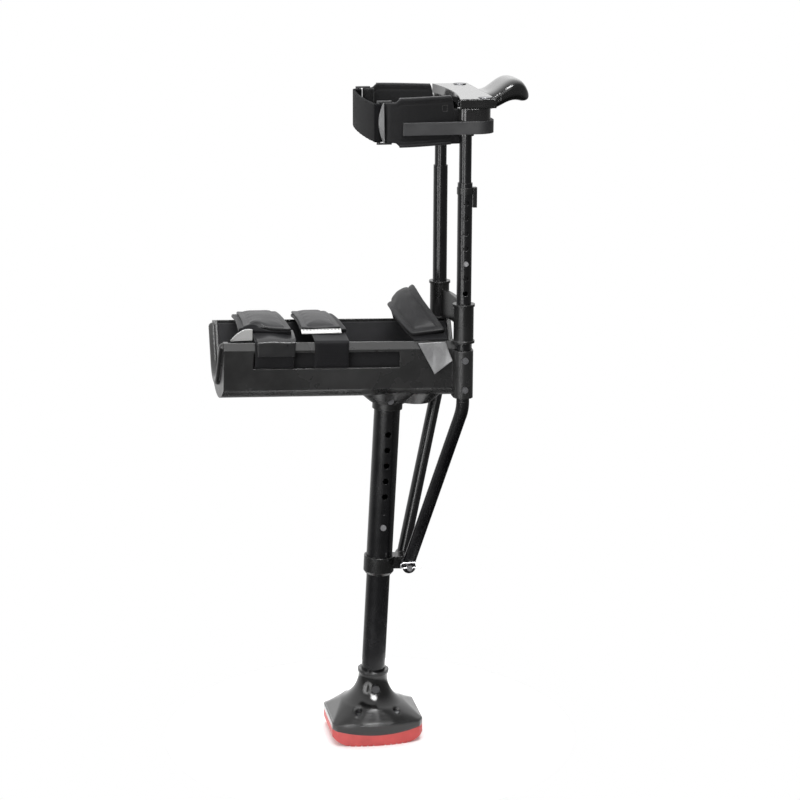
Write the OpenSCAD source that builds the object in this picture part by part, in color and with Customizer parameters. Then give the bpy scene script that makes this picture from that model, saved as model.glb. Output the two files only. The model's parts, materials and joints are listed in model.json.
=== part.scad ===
// Hands-free knee crutch: a shin tray on a telescopic leg, with a telescopic thigh handle.
// Millimetres. X points forward, Z up, and the origin is where the calf tube's axis meets the floor.

/* [Foot] */
// length of the sole, front to back
foot_len = 124; // [110:1:140]
// middle of the foot ahead of the origin
foot_fore = 4; // [0:0.5:6]
// width of the sole halfway along
foot_mid_w = 110; // [90:1:130]
// width of the sole at its straight ends
foot_end_w = 88; // [70:1:100]
// diameter of the round that takes the points off the four corners
foot_corner_d = 146; // [140:1:150]
// height of the upper edge of the foot's rim
foot_rim_z = 30; // [26:0.5:40]
// thickness of the shell of the foot
foot_wall = 4; // [3:0.5:6]
// thickness of the rubber sole in the middle
sole_t = 15; // [12:0.5:18]
// length of the flat part of the sole
sole_flat = 70; // [50:1:80]
// radius of the rolled ends of the sole
sole_roll_r = 38; // [36:1:60]
// radius of the curved seat between shell and sole
seat_r = 280; // [240:10:500]
// spacing of the tread grooves
tread_pitch = 8; // [6:0.5:12]
// width and depth of a tread groove
tread_w = 1.6; // [1:0.1:3]
// top of the ring round the tube, along the tube
ring_top = 92; // [80:1:110]
// wall of the ring round the tube
ring_wall = 4.2; // [3:0.1:6]
// radius of the hollow flare below the ring
flare_r = 40; // [30:1:50]
// diameter where the flare meets the sloping top of the foot
flare_low_d = 84; // [76:1:92]
// height of the top of the flare
flare_top = 84; // [76:1:88]
// distance of the foot screws from the middle, along the foot
foot_screw_x = 26; // [20:1:34]
// distance of the foot screws from the middle, across the foot
foot_screw_y = 39; // [34:1:42]

/* [Calf leg] */
// forward lean of the calf tube in degrees
calf_lean = 2.9; // [0:0.1:5]
// outside diameter of the sliding calf tube
calf_inner_d = 31.75; // [28:0.05:36]
// wall of both calf tubes
calf_wall = 1.5; // [1:0.1:2.5]
// lower end of the sliding tube, along the tube
calf_inner_from = 26; // [22:1:32]
// button of the calf leg, along the tube
calf_button_at = 297.5; // [280:0.5:310]
// distance between two holes of the calf leg
calf_pitch = 21.4; // [16:0.1:22]
// number of holes of the calf leg
calf_hole_count = 7; // [4:1:7]
// diameter of the calf button
calf_button_d = 8; // [6:0.5:10]
// tube left above the button
calf_tail = 34; // [30:1:44]
// lower end of the outer calf tube, along the tube
calf_outer_from = 233; // [225:1:245]

/* [Collar and struts] */
// height of the collar
collar_h = 21; // [18:1:26]
// wall of the collar
collar_wall = 3; // [2.5:0.1:5]
// pin in front of the tube axis, square to the tube
lug_reach = 36; // [34:0.5:42]
// pin above the lower end of the outer tube
lug_rise = 13; // [12:0.5:14]
// half width of the lug across the pin
lug_half_w = 10; // [8:0.5:12]
// diameter of the clevis pin
pin_d = 8; // [6:0.5:10]
// diameter of the strut tubes
strut_d = 16.8; // [15:0.2:18]
// wall of the strut tubes
strut_wall = 1.5; // [1:0.1:2.5]
// radius of the bend of a strut
strut_bend_r = 60; // [45:1:80]
// height where the two straight lines of a strut would meet
strut_knee_z = 473; // [460:1:475]

/* [Knee tray] */
// height of the pad's lowest line, the knee height
knee_z = 506; // [490:1:520]
// depth of the trough from rim to pad
trough_depth = 60; // [50:1:66]
// half width of the trough at the rim
trough_half_w = 62; // [58:0.5:63]
// radius of the bottom of the trough
trough_r = 36; // [32:0.5:42]
// radius of the bead round the rear end of the trough
lip_r = 5.5; // [4:0.1:5.8]
// outside width of the tray
tray_w = 146; // [142:1:152]
// forward slope of the tray in degrees
tray_pitch = 1.5; // [0:0.1:2]
// place of the rim that keeps its height in the slope, behind the origin
tray_pivot_back = 26; // [10:1:40]
// rear end of the tray behind the origin
tray_back = 201; // [180:1:220]
// height of the upright outer faces
tray_side_h = 62; // [56:1:68]
// drop of the rounded belly below the outer faces
belly_drop = 23; // [20:1:27]
// wall of the tray
tray_wall = 4; // [3:0.5:5]
// thickness of the two end walls
tray_end_t = 6; // [4:0.5:10]
// height of the bevel along the rim
rim_bevel_h = 10; // [6:0.5:12]
// inward step of that bevel
rim_bevel_in = 2.4; // [1:0.1:3]
// space between pad and tray wall for the straps
pad_gap = 3; // [2.8:0.1:4]
// rear end of the strap windows behind the origin
window_back = 163; // [150:1:170]
// front end of the strap windows ahead of the origin
window_front = 27; // [10:1:40]
// lower edge of the windows below the rim
window_low = 34; // [30:0.5:38]
// upper edge of the windows below the rim
window_top = 13; // [12:0.5:16]
// socket below the belly, along the tube
socket_drop = 22; // [18:1:26]
// wall of the leg socket
socket_wall = 2.6; // [2:0.1:4]

/* [Uprights] */
// uprights ahead of the origin
upright_x = 109; // [104:0.5:112]
// uprights to each side
upright_y = 77.7; // [77:0.1:80]
// diameter of the inner uprights
upright_inner_d = 15.9; // [14:0.05:17]
// wall of all uprights
upright_wall = 1.5; // [1:0.1:2]
// top of the outer uprights
upright_outer_top = 770; // [765:1:780]
// height of the upright buttons
upright_button_at = 666.5; // [664:0.5:668]
// distance between two holes of an upright
upright_pitch = 19.5; // [15:0.1:20]
// number of holes of an upright
upright_hole_count = 7; // [4:1:7]
// number of holes below the button as it stands
upright_holes_below = 2; // [0:1:2]
// diameter of the upright buttons
upright_button_d = 6.4; // [5:0.2:7]
// tube left below the button
upright_tail = 26; // [22:1:30]
// wall of the front sockets of the tray
corner_wall = 3.4; // [3:0.1:5]
// height of the front sockets
corner_h = 63; // [56:1:70]
// top of the front sockets below the rim
corner_drop = 14; // [10:1:20]
// lower end of the cross brace
brace_low_z = 562; // [556:1:568]
// height of the sleeves of the cross brace
brace_h = 51; // [44:1:56]
// wall of the sleeves of the cross brace
brace_wall = 3.4; // [2.5:0.1:5]
// thickness of the bowed plate
brace_t = 6; // [4:0.5:9]
// forward bow of the plate
brace_bow = 10; // [5:0.5:16]

/* [Handle and thigh band] */
// underside of the handle plate, top of the yoke
yoke_top_z = 865; // [860:1:868]
// height of the yoke's bosses
yoke_h = 35; // [31:1:41]
// thickness of the handle plate
plate_t = 12; // [10:0.5:14]
// rear edge of the handle plate
plate_back_x = 99; // [98:0.5:102]
// front edge of the handle plate, where the grip begins
plate_front_x = 146; // [144:0.5:150]
// half width of the hand grip
grip_half_w = 38; // [30:1:44]
// front of the nose of the grip
grip_front_x = 205; // [195:1:215]
// rise of the crest of the grip above the plate
grip_rise = 18.8; // [14:0.2:22]
// lower edge of the thigh panels below the yoke
panel_drop = 12; // [8:1:18]
// height of the thigh panels
panel_h = 61; // [54:1:64]
// thickness of the thigh panels
panel_t = 5; // [4:0.5:7]
// middle of the buckles ahead of the origin
buckle_x = 4; // [-4:0.5:8]
// height of the elastic strap
elastic_h = 48; // [40:1:52]
// thickness of the elastic strap
elastic_t = 3; // [2:0.2:4]
// rearward bulge of the elastic strap
elastic_bow = 6; // [3:0.5:20]
// height of the cuff arm
cuff_h = 16; // [12:0.5:20]
// thickness of the cuff arm
cuff_t = 4; // [3:0.2:5]
// rear ends of the cuff arm
cuff_back_x = 26; // [20:1:40]

/* [Straps] */
// thickness of the strap webbing
web_t = 2; // [1.6:0.1:2.2]
// rise of a strap in the middle
strap_arch = 5; // [3:0.5:8]
// middle of the rear strap behind the origin
rear_strap_back = 136; // [130:1:140]
// width of the rear strap
rear_strap_w = 50; // [40:1:52]
// middle of the front strap behind the origin
front_strap_back = 62; // [56:1:68]
// width of the front strap
front_strap_w = 44; // [36:1:48]
// near end of the strap pads to the right of the middle
strap_pad_near = 42; // [30:1:60]
// thickness of the strap pads
strap_pad_t = 12; // [8:0.5:14]
// width of the loose knee strap
knee_strap_w = 44; // [36:1:50]
// thickness of the pad on the knee strap
knee_strap_pad_t = 15; // [10:0.5:18]

/* [Parts] */
// names of all parts
// part to draw, or all of them

/* [Hidden] */
// smoothness of round faces
$fn = 96;
// smoothness of the two lofts of the foot
loft_fn = 48;
// overrun of every cut
over = 1;
// gap between pieces that are pressed or bolted together
press_gap = 0.05;
// radial running gap of the sliding tubes
slide_gap = 0.08;
// radial gap round a button
button_gap = 0.1;
// gap round soft pieces
soft_gap = 0.4;
// room round and depth of a sunk screw head
head_room = 1;
// height of the thin slices that a loft joins
slice = 0.5;
// colours
black_paint = [0.06, 0.06, 0.07];
black_gloss = [0.04, 0.04, 0.05];
black_matte = [0.1, 0.1, 0.1];
black_cloth = [0.14, 0.14, 0.15];
grey_vinyl = [0.36, 0.36, 0.37];
grey_matte = [0.24, 0.24, 0.25];
red_rubber = [0.78, 0.2, 0.18];
bare_steel = [0.75, 0.75, 0.77];

// foot
foot_sag = (foot_mid_w - foot_end_w) / 2;
foot_side_r = (foot_len * foot_len / 4 + foot_sag * foot_sag) / (2 * foot_sag);
ring_r = calf_inner_d / 2 + ring_wall;
flare_mid_r = ring_r + flare_r;
flare_low_z = flare_top - sqrt(flare_r * flare_r - (flare_mid_r - flare_low_d / 2) ^ 2);
foot_screw_z = (foot_rim_z + flare_low_z) / 2;
foot_screw_d = 4;
foot_head_d = 8;
foot_head_h = 2.6;
foot_boss_d = 13;
foot_bolt_d = 6;
foot_bolt_head_d = 11;
foot_bolt_head_h = 4;
foot_bolt_s = (flare_low_z + ring_top) / 2;
foot_bolt_seat = 2.6;
foot_bolt_face = ring_r + foot_bolt_seat;
ring_lip = 1.2;
ring_lip_h = 4;

// calf leg
calf_inner_r = calf_inner_d / 2;
calf_bore_r = calf_inner_r - calf_wall;
calf_outer_bore_r = calf_inner_r + slide_gap;
calf_outer_r = calf_outer_bore_r + calf_wall;
calf_inner_to = calf_button_at + calf_tail;
calf_travel = calf_pitch * (calf_hole_count - 1);
calf_proud = 1.9;
calf_flange_d = 11;
calf_flange_t = 1.2;
calf_flange_y = sqrt(calf_bore_r ^ 2 - (calf_flange_d / 2) ^ 2) - 2 * button_gap;
calf_plug_h = 12;
calf_plug_cap = 2;
spring_t = 0.8;
spring_w = 7;
spring_leg = 26;

// knee tray
rim_z = knee_z + trough_depth;
shoulder_z = rim_z - tray_side_h;
belly_z = shoulder_z - belly_drop;
tray_half = tray_w / 2;
belly_r = (tray_half * tray_half + belly_drop * belly_drop) / (2 * belly_drop);
trough_mid_z = knee_z + trough_r;
trough_reach = norm([trough_half_w, rim_z - trough_mid_z]);
trough_turn = atan2(rim_z - trough_mid_z, trough_half_w) - acos(trough_r / trough_reach);
trough_flank = sqrt(trough_reach ^ 2 - trough_r ^ 2);
lip_in = 1;
lip_path_r = trough_r + lip_r - lip_in;
pad_drop = 2;
pad_top_z = rim_z - pad_drop;
window_low_z = rim_z - window_low;
window_top_z = rim_z - window_top;
socket_r = calf_outer_r + press_gap + socket_wall;
flange_w = 14;
flange_r = socket_r + flange_w;
flange_t = 4;
flange_rise = 6;
flange_s = belly_z + flange_rise;
socket_low_s = belly_z - socket_drop;
socket_screw_ring = socket_r + flange_w / 2;
socket_screw_d = 5;
socket_head_d = 9;
socket_head_h = 3;
socket_thread = 4;
belly_boss_lip = 4;
belly_boss_low_r = socket_r + belly_boss_lip;
belly_boss_h = 9;
belly_boss_share = 1.27;
belly_boss_drop = 9.5;
belly_keel = 34;
belly_keel_share = 1;
driver_gap = 1.2;
belly_boss_r = belly_boss_low_r + belly_boss_share * belly_boss_h;
calf_outer_to = flange_s + flange_t;
cross_screw_drop = 8;
cross_screw_s = belly_z - cross_screw_drop;

// uprights
yoke_low_z = yoke_top_z - yoke_h;
panel_low_z = yoke_low_z - panel_drop;
upright_inner_r = upright_inner_d / 2;
upright_bore_r = upright_inner_r - upright_wall;
upright_outer_bore_r = upright_inner_r + slide_gap;
upright_outer_r = upright_outer_bore_r + upright_wall;
upright_proud = 1.6;
upright_flange_d = 7.6;
upright_flange_t = 1;
upright_flange_y = sqrt(upright_bore_r ^ 2 - (upright_flange_d / 2) ^ 2) - button_gap;
upright_hole_low = upright_button_at - upright_holes_below * upright_pitch;
upright_inner_from = upright_button_at - upright_tail;
yoke_cap = 2;
upright_inner_to = yoke_top_z - yoke_cap;
upright_plug_h = 9;
upright_plug_cap = 2;
corner_r = upright_outer_r + press_gap + corner_wall;
front_step = 0.5;
tray_front = upright_x + corner_r - front_step;
corner_top_z = rim_z - corner_drop;
corner_low_z = corner_top_z - corner_h;
corner_web = 6;
corner_mid_z = corner_low_z + corner_h / 2;
strut_r = strut_d / 2;
corner_screw_d = 4.5;
corner_head_d = 8.4;
corner_head_h = 2.4;
corner_screw_rise = 12;
brace_r = upright_outer_r + press_gap + brace_wall;
brace_flange = 1.4;
brace_flange_h = 3;
brace_plate_low = 6;
brace_plate_h = 35;
brace_mid_r = (upright_y ^ 2 + brace_bow ^ 2) / (2 * brace_bow);
clip_t = 0.9;
clip_h = 26;
clip_tab_t = 5;
clip_tab_w = 7;
clip_drop = 6;

// collar and struts
collar_r = calf_outer_r + press_gap + collar_wall;
collar_taper_h = 4;
pin_s = calf_outer_from + lug_rise;
pin_r = pin_d / 2;
lug_wall = 4.5;
lug_r = pin_r + lug_wall;
pin_x = lug_reach * cos(calf_lean) + pin_s * sin(calf_lean);
pin_z = pin_s * cos(calf_lean) - lug_reach * sin(calf_lean);
washer_t = 1.2;
washer_w = 3.5;
washer_r = pin_r + washer_w;
eye_lip = 0.6;
eye_r = strut_r + eye_lip;
eye_w = 2 * eye_r;
eye_y = lug_half_w + washer_t + 2 * press_gap + eye_w / 2;
pin_head_t = 3;
pin_tip = 7;
pin_half = lug_half_w + washer_t + eye_w + 4 * press_gap;
clip_wire_r = 1;
clip_leg = 17;
clip_long_leg = 24;
clip_bow = 7;
strut_dx = upright_x - pin_x;
strut_dy = upright_y - eye_y;
strut_out = sqrt(strut_dx ^ 2 + strut_dy ^ 2);
strut_turn = atan2(strut_dy, -strut_dx);
strut_tilt = atan(strut_out / (strut_knee_z - pin_z));
strut_bend_from = strut_knee_z + strut_bend_r * tan(strut_tilt / 2);
bend_lap = 3;
bend_swell = 0.15;
strut_top_z = corner_mid_z - corner_web / 2;
strut_run = (strut_out - strut_bend_r * (1 - cos(strut_tilt))) / sin(strut_tilt) - strut_r / 2;

// handle and thigh band
plate_top_z = yoke_top_z + plate_t;
boss_wall = 2.6;
boss_r = upright_inner_r + press_gap + boss_wall;
yoke_step = 1;
yoke_bar_back = upright_x + boss_r + yoke_step;
yoke_bar_d = 22;
yoke_front = yoke_bar_back + yoke_bar_d;
plate_side = 11;
plate_half_w = upright_y + plate_side;
plate_hollow = 9;
plate_hollow_r = (plate_half_w ^ 2 + plate_hollow ^ 2) / (2 * plate_hollow);
bolt_fore = 25;
bolt_x = upright_x + bolt_fore;
bolt_d = 6;
bolt_head_d = 16;
bolt_floor = 3;
bolt_proud = 1;
bolt_pocket_d = bolt_head_d + 2 * head_room;
bolt_thread = 14;
grip_drop = 9;
grip_low_z = yoke_top_z - grip_drop;
grip_len = grip_front_x - plate_front_x;
grip_stations = 28;
grip_ring = 28;
// power of the rounded outline of the grip's sections
grip_round_share = 4;
// places along the grip of the two inner control points of its top and underside
grip_control_shares = [1 / 3, 1 / 2];
// control heights of the grip's top, of its rise, and of its underside, of its drop
grip_top_shares = [-0.1, 1.88, 0.32];
grip_low_shares = [-0.45, 2.5, 0.35];
// narrowing of the grip at its nose
grip_narrow_share = 0.35;
grip_nose_share = 0.84;
grip_tip_share = 0.4;
grip_nose_in = 9;
bar_r = 2.4;
loop_in = bar_r + soft_gap;
panel_loop_r = loop_in + panel_t;
fold_bulge = 0.3;
elastic_loop_r = loop_in + elastic_t + 2 * fold_bulge;
bar_x = (panel_loop_r + elastic_loop_r + soft_gap) / 2;
fold_edge = 1;
fold_h = elastic_h + 2 * fold_edge;
fold_low_z = panel_low_z + (panel_h - fold_h) / 2;
buckle_h = fold_h + 2 * soft_gap;
buckle_low_z = fold_low_z - soft_gap;
buckle_bar_t = 2;
fold_reach = 16;
elastic_low_z = panel_low_z + (panel_h - elastic_h) / 2;
panel_stop = 3;
panel_end_x = plate_back_x - panel_stop;
tongue_fore = 6;
tongue_x = upright_x + tongue_fore;
tongue_y = upright_y - boss_r - panel_t / 2 - soft_gap;
tongue_drop = 3;
tongue_top_z = yoke_top_z - tongue_drop;
cuff_in_y = upright_y + boss_r + press_gap;
cuff_rise = 3;
cuff_low_z = yoke_low_z + cuff_rise;
cuff_round = 20;
yoke_bar_low = cuff_low_z;
buckle_y = cuff_in_y - soft_gap - panel_loop_r;
panel_y = buckle_y + loop_in + panel_t / 2;
panel_straight = 34;
panel_turn = 30;
panel_swing = 10;
// plan line of the right-hand thigh panel, from its loop to its tongue
panel_line = [
    [buckle_x + bar_x + fold_reach / 2, -panel_y], [buckle_x + bar_x + panel_straight, -panel_y],
    [panel_end_x - panel_turn, -tongue_y - panel_swing], [panel_end_x, -tongue_y]
];
rivet_d = 4;
rivet_head_d = 9;
rivet_head_h = 1.6;
rivet_in = 6;
rivet_rise = 9;

// straps
loop_out_y = tray_half + soft_gap;
loop_in_y = tray_half - tray_wall - soft_gap;
strap_low_z = rim_z + soft_gap;
strap_half = tray_half;
strap_arch_r = (strap_half ^ 2 + strap_arch ^ 2) / (2 * strap_arch);
strap_pad_in = 2;
strap_pad_half = tray_half - strap_pad_in;
strap_pad_edge = 8;
rear_pad_w = 64;
rear_pad_narrow = 10;
rear_pad_back = 142;
front_pad_w = 54;
front_pad_narrow = 7;
front_pad_back = 72;
tail_t = 3;
tail_back = 32;
tail_x = upright_x - tail_back;
tail_drop = 16;
tail_y = tray_half + soft_gap + tail_t / 2;
// corners of the tail along X and Z from its middle
tail_corners = [[-27, 14], [9, tail_drop], [18, -8], [-5, -26]];
// the loose strap's start, behind the uprights and below the rim, and its rise and fall from there
knee_strap_back = 40;
knee_strap_drop = 8;
knee_strap_lean = 10;
knee_strap_lift = 40;
knee_strap_crest = 54;
knee_strap_crest_back = 81;
knee_strap_end_back = 41;
knee_strap_y = tray_half + soft_gap + web_t / 2;
// middle line of the loose strap, from outside the left rail to above the right rail
knee_strap_from = [upright_x - knee_strap_back, knee_strap_y, rim_z - knee_strap_drop];
knee_strap_rise = knee_strap_from + [-knee_strap_lean, 0, knee_strap_drop + knee_strap_lift];
knee_strap_fall = [upright_x - knee_strap_crest_back, tray_half / 4, rim_z + knee_strap_crest];
knee_strap_to = [upright_x - knee_strap_end_back, -tail_y, rim_z + web_t];
knee_strap_line = [knee_strap_from, knee_strap_rise, knee_strap_fall, knee_strap_to];
// tilt of the loose strap halfway along
knee_strap_tilt_share = 0.8;
// start and end of the pad along the loose strap
knee_pad_shares = [0.36, 0.97];
// step along a curve for its direction
look_share = 0.01;
grid_along = 16;
grid_across = 10;
ribbon_steps = 24;

function lerp(a, b, t) = a + (b - a) * t;
function bow(t) = 4 * t * (1 - t);
function bezier(p, t) =
    p[0] * (1 - t) ^ 3 + p[1] * 3 * t * (1 - t) ^ 2 + p[2] * 3 * t ^ 2 * (1 - t) + p[3] * t ^ 3;
function unit(v) = v / norm(v);

// leans what it holds with the calf tube
module on_calf() {
    rotate([0, calf_lean, 0]) children();
}

// a straight tube along Z
module tube(outer_r, bore_r, from, to) {
    translate([0, 0, from]) difference() {
        cylinder(r = outer_r, h = to - from);
        translate([0, 0, -over]) cylinder(r = bore_r, h = to - from + 2 * over);
    }
}

// a cylinder along Y between two places
module rod_y(r, from, to) {
    translate([0, from, 0]) rotate([-90, 0, 0]) cylinder(r = r, h = to - from);
}

// a profile in Y and Z drawn out along X
module along_x(from, to) {
    translate([from, 0, 0]) rotate([90, 0, 90]) linear_extrude(to - from) children();
}

// what slopes with the tray
module sloped() {
    translate([-tray_pivot_back, 0, rim_z]) rotate([0, tray_pitch, 0]) translate([tray_pivot_back, 0, -rim_z])
        children();
}

// both sides of the object
module each_side() {
    for (side = [-1, 1]) scale_side(side) children();
}

// the right-hand side as it is drawn, the left-hand side mirrored
module scale_side(side) {
    if (side < 0) children();
    else mirror([0, 1, 0]) children();
}

// a closed body between two surfaces, each a function of two shares
module between(top, bottom, n_u, n_v) {
    rows = n_v + 1;
    count = (n_u + 1) * rows;
    points = concat(
        [for (i = [0 : n_u]) for (j = [0 : n_v]) top(i / n_u, j / n_v)],
        [for (i = [0 : n_u]) for (j = [0 : n_v]) bottom(i / n_u, j / n_v)]
    );
    function at(i, j) = i * rows + j;
    faces = concat(
        [for (i = [0 : n_u - 1]) for (j = [0 : n_v - 1]) [at(i, j), at(i, j + 1), at(i + 1, j)]],
        [for (i = [0 : n_u - 1]) for (j = [0 : n_v - 1]) [at(i + 1, j), at(i, j + 1), at(i + 1, j + 1)]],
        [for (i = [0 : n_u - 1]) for (j = [0 : n_v - 1])
            [count + at(i, j), count + at(i + 1, j), count + at(i, j + 1)]],
        [for (i = [0 : n_u - 1]) for (j = [0 : n_v - 1])
            [count + at(i + 1, j), count + at(i + 1, j + 1), count + at(i, j + 1)]],
        [for (i = [0 : n_u - 1]) [at(i, 0), at(i + 1, 0), count + at(i, 0)]],
        [for (i = [0 : n_u - 1]) [at(i + 1, 0), count + at(i + 1, 0), count + at(i, 0)]],
        [for (i = [0 : n_u - 1]) [at(i, n_v), count + at(i, n_v), at(i + 1, n_v)]],
        [for (i = [0 : n_u - 1]) [at(i + 1, n_v), count + at(i, n_v), count + at(i + 1, n_v)]],
        [for (j = [0 : n_v - 1]) [at(0, j), count + at(0, j), at(0, j + 1)]],
        [for (j = [0 : n_v - 1]) [at(0, j + 1), count + at(0, j), count + at(0, j + 1)]],
        [for (j = [0 : n_v - 1]) [at(n_u, j), at(n_u, j + 1), count + at(n_u, j)]],
        [for (j = [0 : n_v - 1]) [at(n_u, j + 1), count + at(n_u, j + 1), count + at(n_u, j)]]
    );
    polyhedron(points, faces);
}

// a flat band of even thickness along a curve in plan
module band(path, thickness) {
    function ahead(i) = unit(bezier(path, min(1, (i + 0.5) / ribbon_steps)) -
        bezier(path, max(0, (i - 0.5) / ribbon_steps)));
    function edge(i, side) = bezier(path, i / ribbon_steps) +
        side * thickness / 2 * [-ahead(i)[1], ahead(i)[0]];
    polygon(concat(
        [for (i = [0 : ribbon_steps]) edge(i, 1)],
        [for (i = [ribbon_steps : -1 : 0]) edge(i, -1)]
    ));
}

// outline of the foot: two curved sides, two straight ends, corners taken off
module foot_outline(inset) {
    translate([foot_fore, 0]) intersection() {
        square([foot_len - 2 * inset, foot_mid_w - 2 * inset], center = true);
        translate([0, foot_side_r - foot_mid_w / 2]) circle(foot_side_r - inset);
        translate([0, foot_mid_w / 2 - foot_side_r]) circle(foot_side_r - inset);
        circle(d = foot_corner_d - 2 * inset);
    }
}

// everything above the rolled underside of the sole
module above_roll() {
    translate([foot_fore, 0, 0]) rotate([90, 0, 0]) linear_extrude(foot_mid_w + 2 * over, center = true) {
        translate([-sole_flat / 2, 0]) square([sole_flat, sole_roll_r]);
        for (end = [-1, 1]) translate([end * sole_flat / 2, sole_roll_r]) circle(sole_roll_r);
    }
}

// everything above the curved seat between sole and shell
module above_seat(rise) {
    translate([foot_fore, 0, sole_t + seat_r + rise])
        rotate([90, 0, 0]) cylinder(r = seat_r, h = foot_mid_w + 2 * over, center = true);
}

// the four places of the foot screws
module foot_screw_places() {
    for (end = [-1, 1]) for (side = [-1, 1])
        translate([foot_fore + end * foot_screw_x, side * foot_screw_y, 0]) children();
}

// the sloping top of the foot, from just inside its rim to just outside the flare
module foot_slope(inset) {
    hull() {
        translate([0, 0, foot_rim_z - slice - inset])
            linear_extrude(slice) foot_outline(inset + slice, $fn = loft_fn);
        on_calf() translate([0, 0, flare_low_z - slice - inset])
            cylinder(r = flare_low_d / 2 - inset + slice, h = slice, $fn = loft_fn);
    }
}

module foot_shell() {
    color(black_gloss) intersection() {
        above_seat(press_gap);
        difference() {
            union() {
                linear_extrude(foot_rim_z) foot_outline(0);
                foot_slope(0);
                on_calf() rotate_extrude() difference() {
                    translate([0, flare_low_z - 2 * slice])
                        square([flare_low_d / 2, flare_top - flare_low_z + 2 * slice]);
                    translate([flare_mid_r, flare_top]) circle(flare_r);
                }
                on_calf() translate([0, 0, flare_low_z]) cylinder(r = ring_r, h = ring_top - flare_low_z);
                on_calf() translate([0, 0, ring_top - ring_lip_h])
                    cylinder(r = ring_r + ring_lip, h = ring_lip_h);
            }
            difference() {
                union() {
                    linear_extrude(foot_rim_z - foot_wall) foot_outline(foot_wall);
                    foot_slope(foot_wall);
                }
                on_calf() cylinder(r = ring_r, h = flare_top);
                foot_screw_places() cylinder(d = foot_boss_d, h = flare_top);
            }
            on_calf() translate([0, 0, calf_inner_from - press_gap])
                cylinder(r = calf_inner_r + press_gap, h = ring_top);
            foot_screw_places() cylinder(d = foot_screw_d + 2 * press_gap, h = flare_top);
            foot_screw_places() translate([0, 0, foot_screw_z])
                cylinder(d = foot_head_d + 2 * head_room, h = flare_top - foot_screw_z);
            on_calf() translate([0, 0, foot_bolt_s]) {
                rod_y(foot_bolt_d / 2 + press_gap, -flare_low_d, flare_low_d);
                rod_y(foot_bolt_head_d / 2 + head_room, -flare_low_d, -foot_bolt_face);
                rod_y(foot_bolt_head_d / 2 + head_room, foot_bolt_face, flare_low_d);
            }
        }
    }
}

module foot_sole() {
    color(red_rubber) difference() {
        intersection() {
            linear_extrude(foot_rim_z) foot_outline(0);
            above_roll();
        }
        above_seat(0);
        for (i = [1 : floor(foot_len / 2 / tread_pitch)]) for (end = [-1, 1])
            translate([foot_fore + end * i * tread_pitch, 0, 0])
                cube([tread_w, foot_mid_w + 2 * over, 2 * tread_w], center = true);
        foot_screw_places() translate([0, 0, sole_t / 2])
            cylinder(d = foot_screw_d + 2 * press_gap, h = foot_rim_z);
    }
}

module foot_screws() {
    color(bare_steel) foot_screw_places() {
        translate([0, 0, sole_t / 2 + press_gap]) cylinder(d = foot_screw_d, h = foot_screw_z - sole_t / 2);
        translate([0, 0, foot_screw_z + press_gap]) cylinder(d = foot_head_d, h = foot_head_h);
    }
}

module foot_bolt() {
    color(bare_steel) on_calf() translate([0, 0, foot_bolt_s]) {
        rod_y(foot_bolt_d / 2, -foot_bolt_face - foot_bolt_head_h, foot_bolt_face + foot_bolt_head_h);
        each_side() translate([0, -foot_bolt_face - press_gap, 0])
            rod_y(foot_bolt_head_d / 2, -foot_bolt_head_h, 0);
    }
}

module calf_inner_tube() {
    color(black_paint) on_calf() difference() {
        tube(calf_inner_r, calf_bore_r, calf_inner_from, calf_inner_to);
        translate([0, 0, foot_bolt_s]) rod_y(foot_bolt_d / 2 + press_gap, -ring_r, ring_r);
        translate([0, 0, calf_button_at]) rod_y(calf_button_d / 2 + button_gap, -ring_r, 0);
    }
}

module calf_tube_plug() {
    color(black_matte) on_calf() translate([0, 0, calf_inner_to + press_gap]) {
        translate([0, 0, -calf_plug_h]) cylinder(r = calf_bore_r - press_gap, h = calf_plug_h);
        cylinder(r = calf_inner_r - slide_gap, h = calf_plug_cap);
    }
}

// a bent leaf in a tube: two legs joined by a half ring below, the front leg behind the button
module leaf_spring(front_y, back_y) {
    mid = (front_y + back_y) / 2;
    half = (back_y - front_y) / 2;
    translate([-spring_w / 2, 0, 0]) rotate([90, 0, 90]) linear_extrude(spring_w) {
        translate([front_y, -spring_leg]) square([spring_t, spring_leg + spring_w / 2]);
        translate([back_y - spring_t, -spring_leg]) square([spring_t, spring_leg + spring_w / 2]);
        translate([mid, -spring_leg]) difference() {
            circle(half);
            circle(half - spring_t);
            translate([-half - over, 0]) square([2 * half + 2 * over, half + over]);
        }
    }
}

module calf_button_spring() {
    back = sqrt(calf_bore_r ^ 2 - (spring_w / 2) ^ 2) - press_gap;
    color(bare_steel) on_calf() translate([0, 0, calf_button_at])
        leaf_spring(calf_flange_t - calf_flange_y + press_gap, back);
}

module calf_button() {
    color(bare_steel) on_calf() translate([0, 0, calf_button_at]) {
        rod_y(calf_button_d / 2, -calf_outer_r - calf_proud, calf_flange_t - calf_flange_y);
        rod_y(calf_flange_d / 2, -calf_flange_y, calf_flange_t - calf_flange_y);
    }
}

module calf_outer_tube() {
    color(black_paint) on_calf() difference() {
        tube(calf_outer_r, calf_outer_bore_r, calf_outer_from, calf_outer_to);
        for (i = [0 : calf_hole_count - 1]) translate([0, 0, calf_button_at + i * calf_pitch])
            rod_y(calf_button_d / 2 + button_gap, -collar_r, 0);
        translate([0, 0, cross_screw_s]) rod_y(socket_screw_d / 2 + press_gap, -collar_r, 0);
    }
}

// the four places of the socket's flange screws
module socket_screw_places() {
    on_calf() for (turn = [45 : 90 : 315]) rotate([0, 0, turn])
        translate([socket_screw_ring, 0, 0]) children();
}

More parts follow.
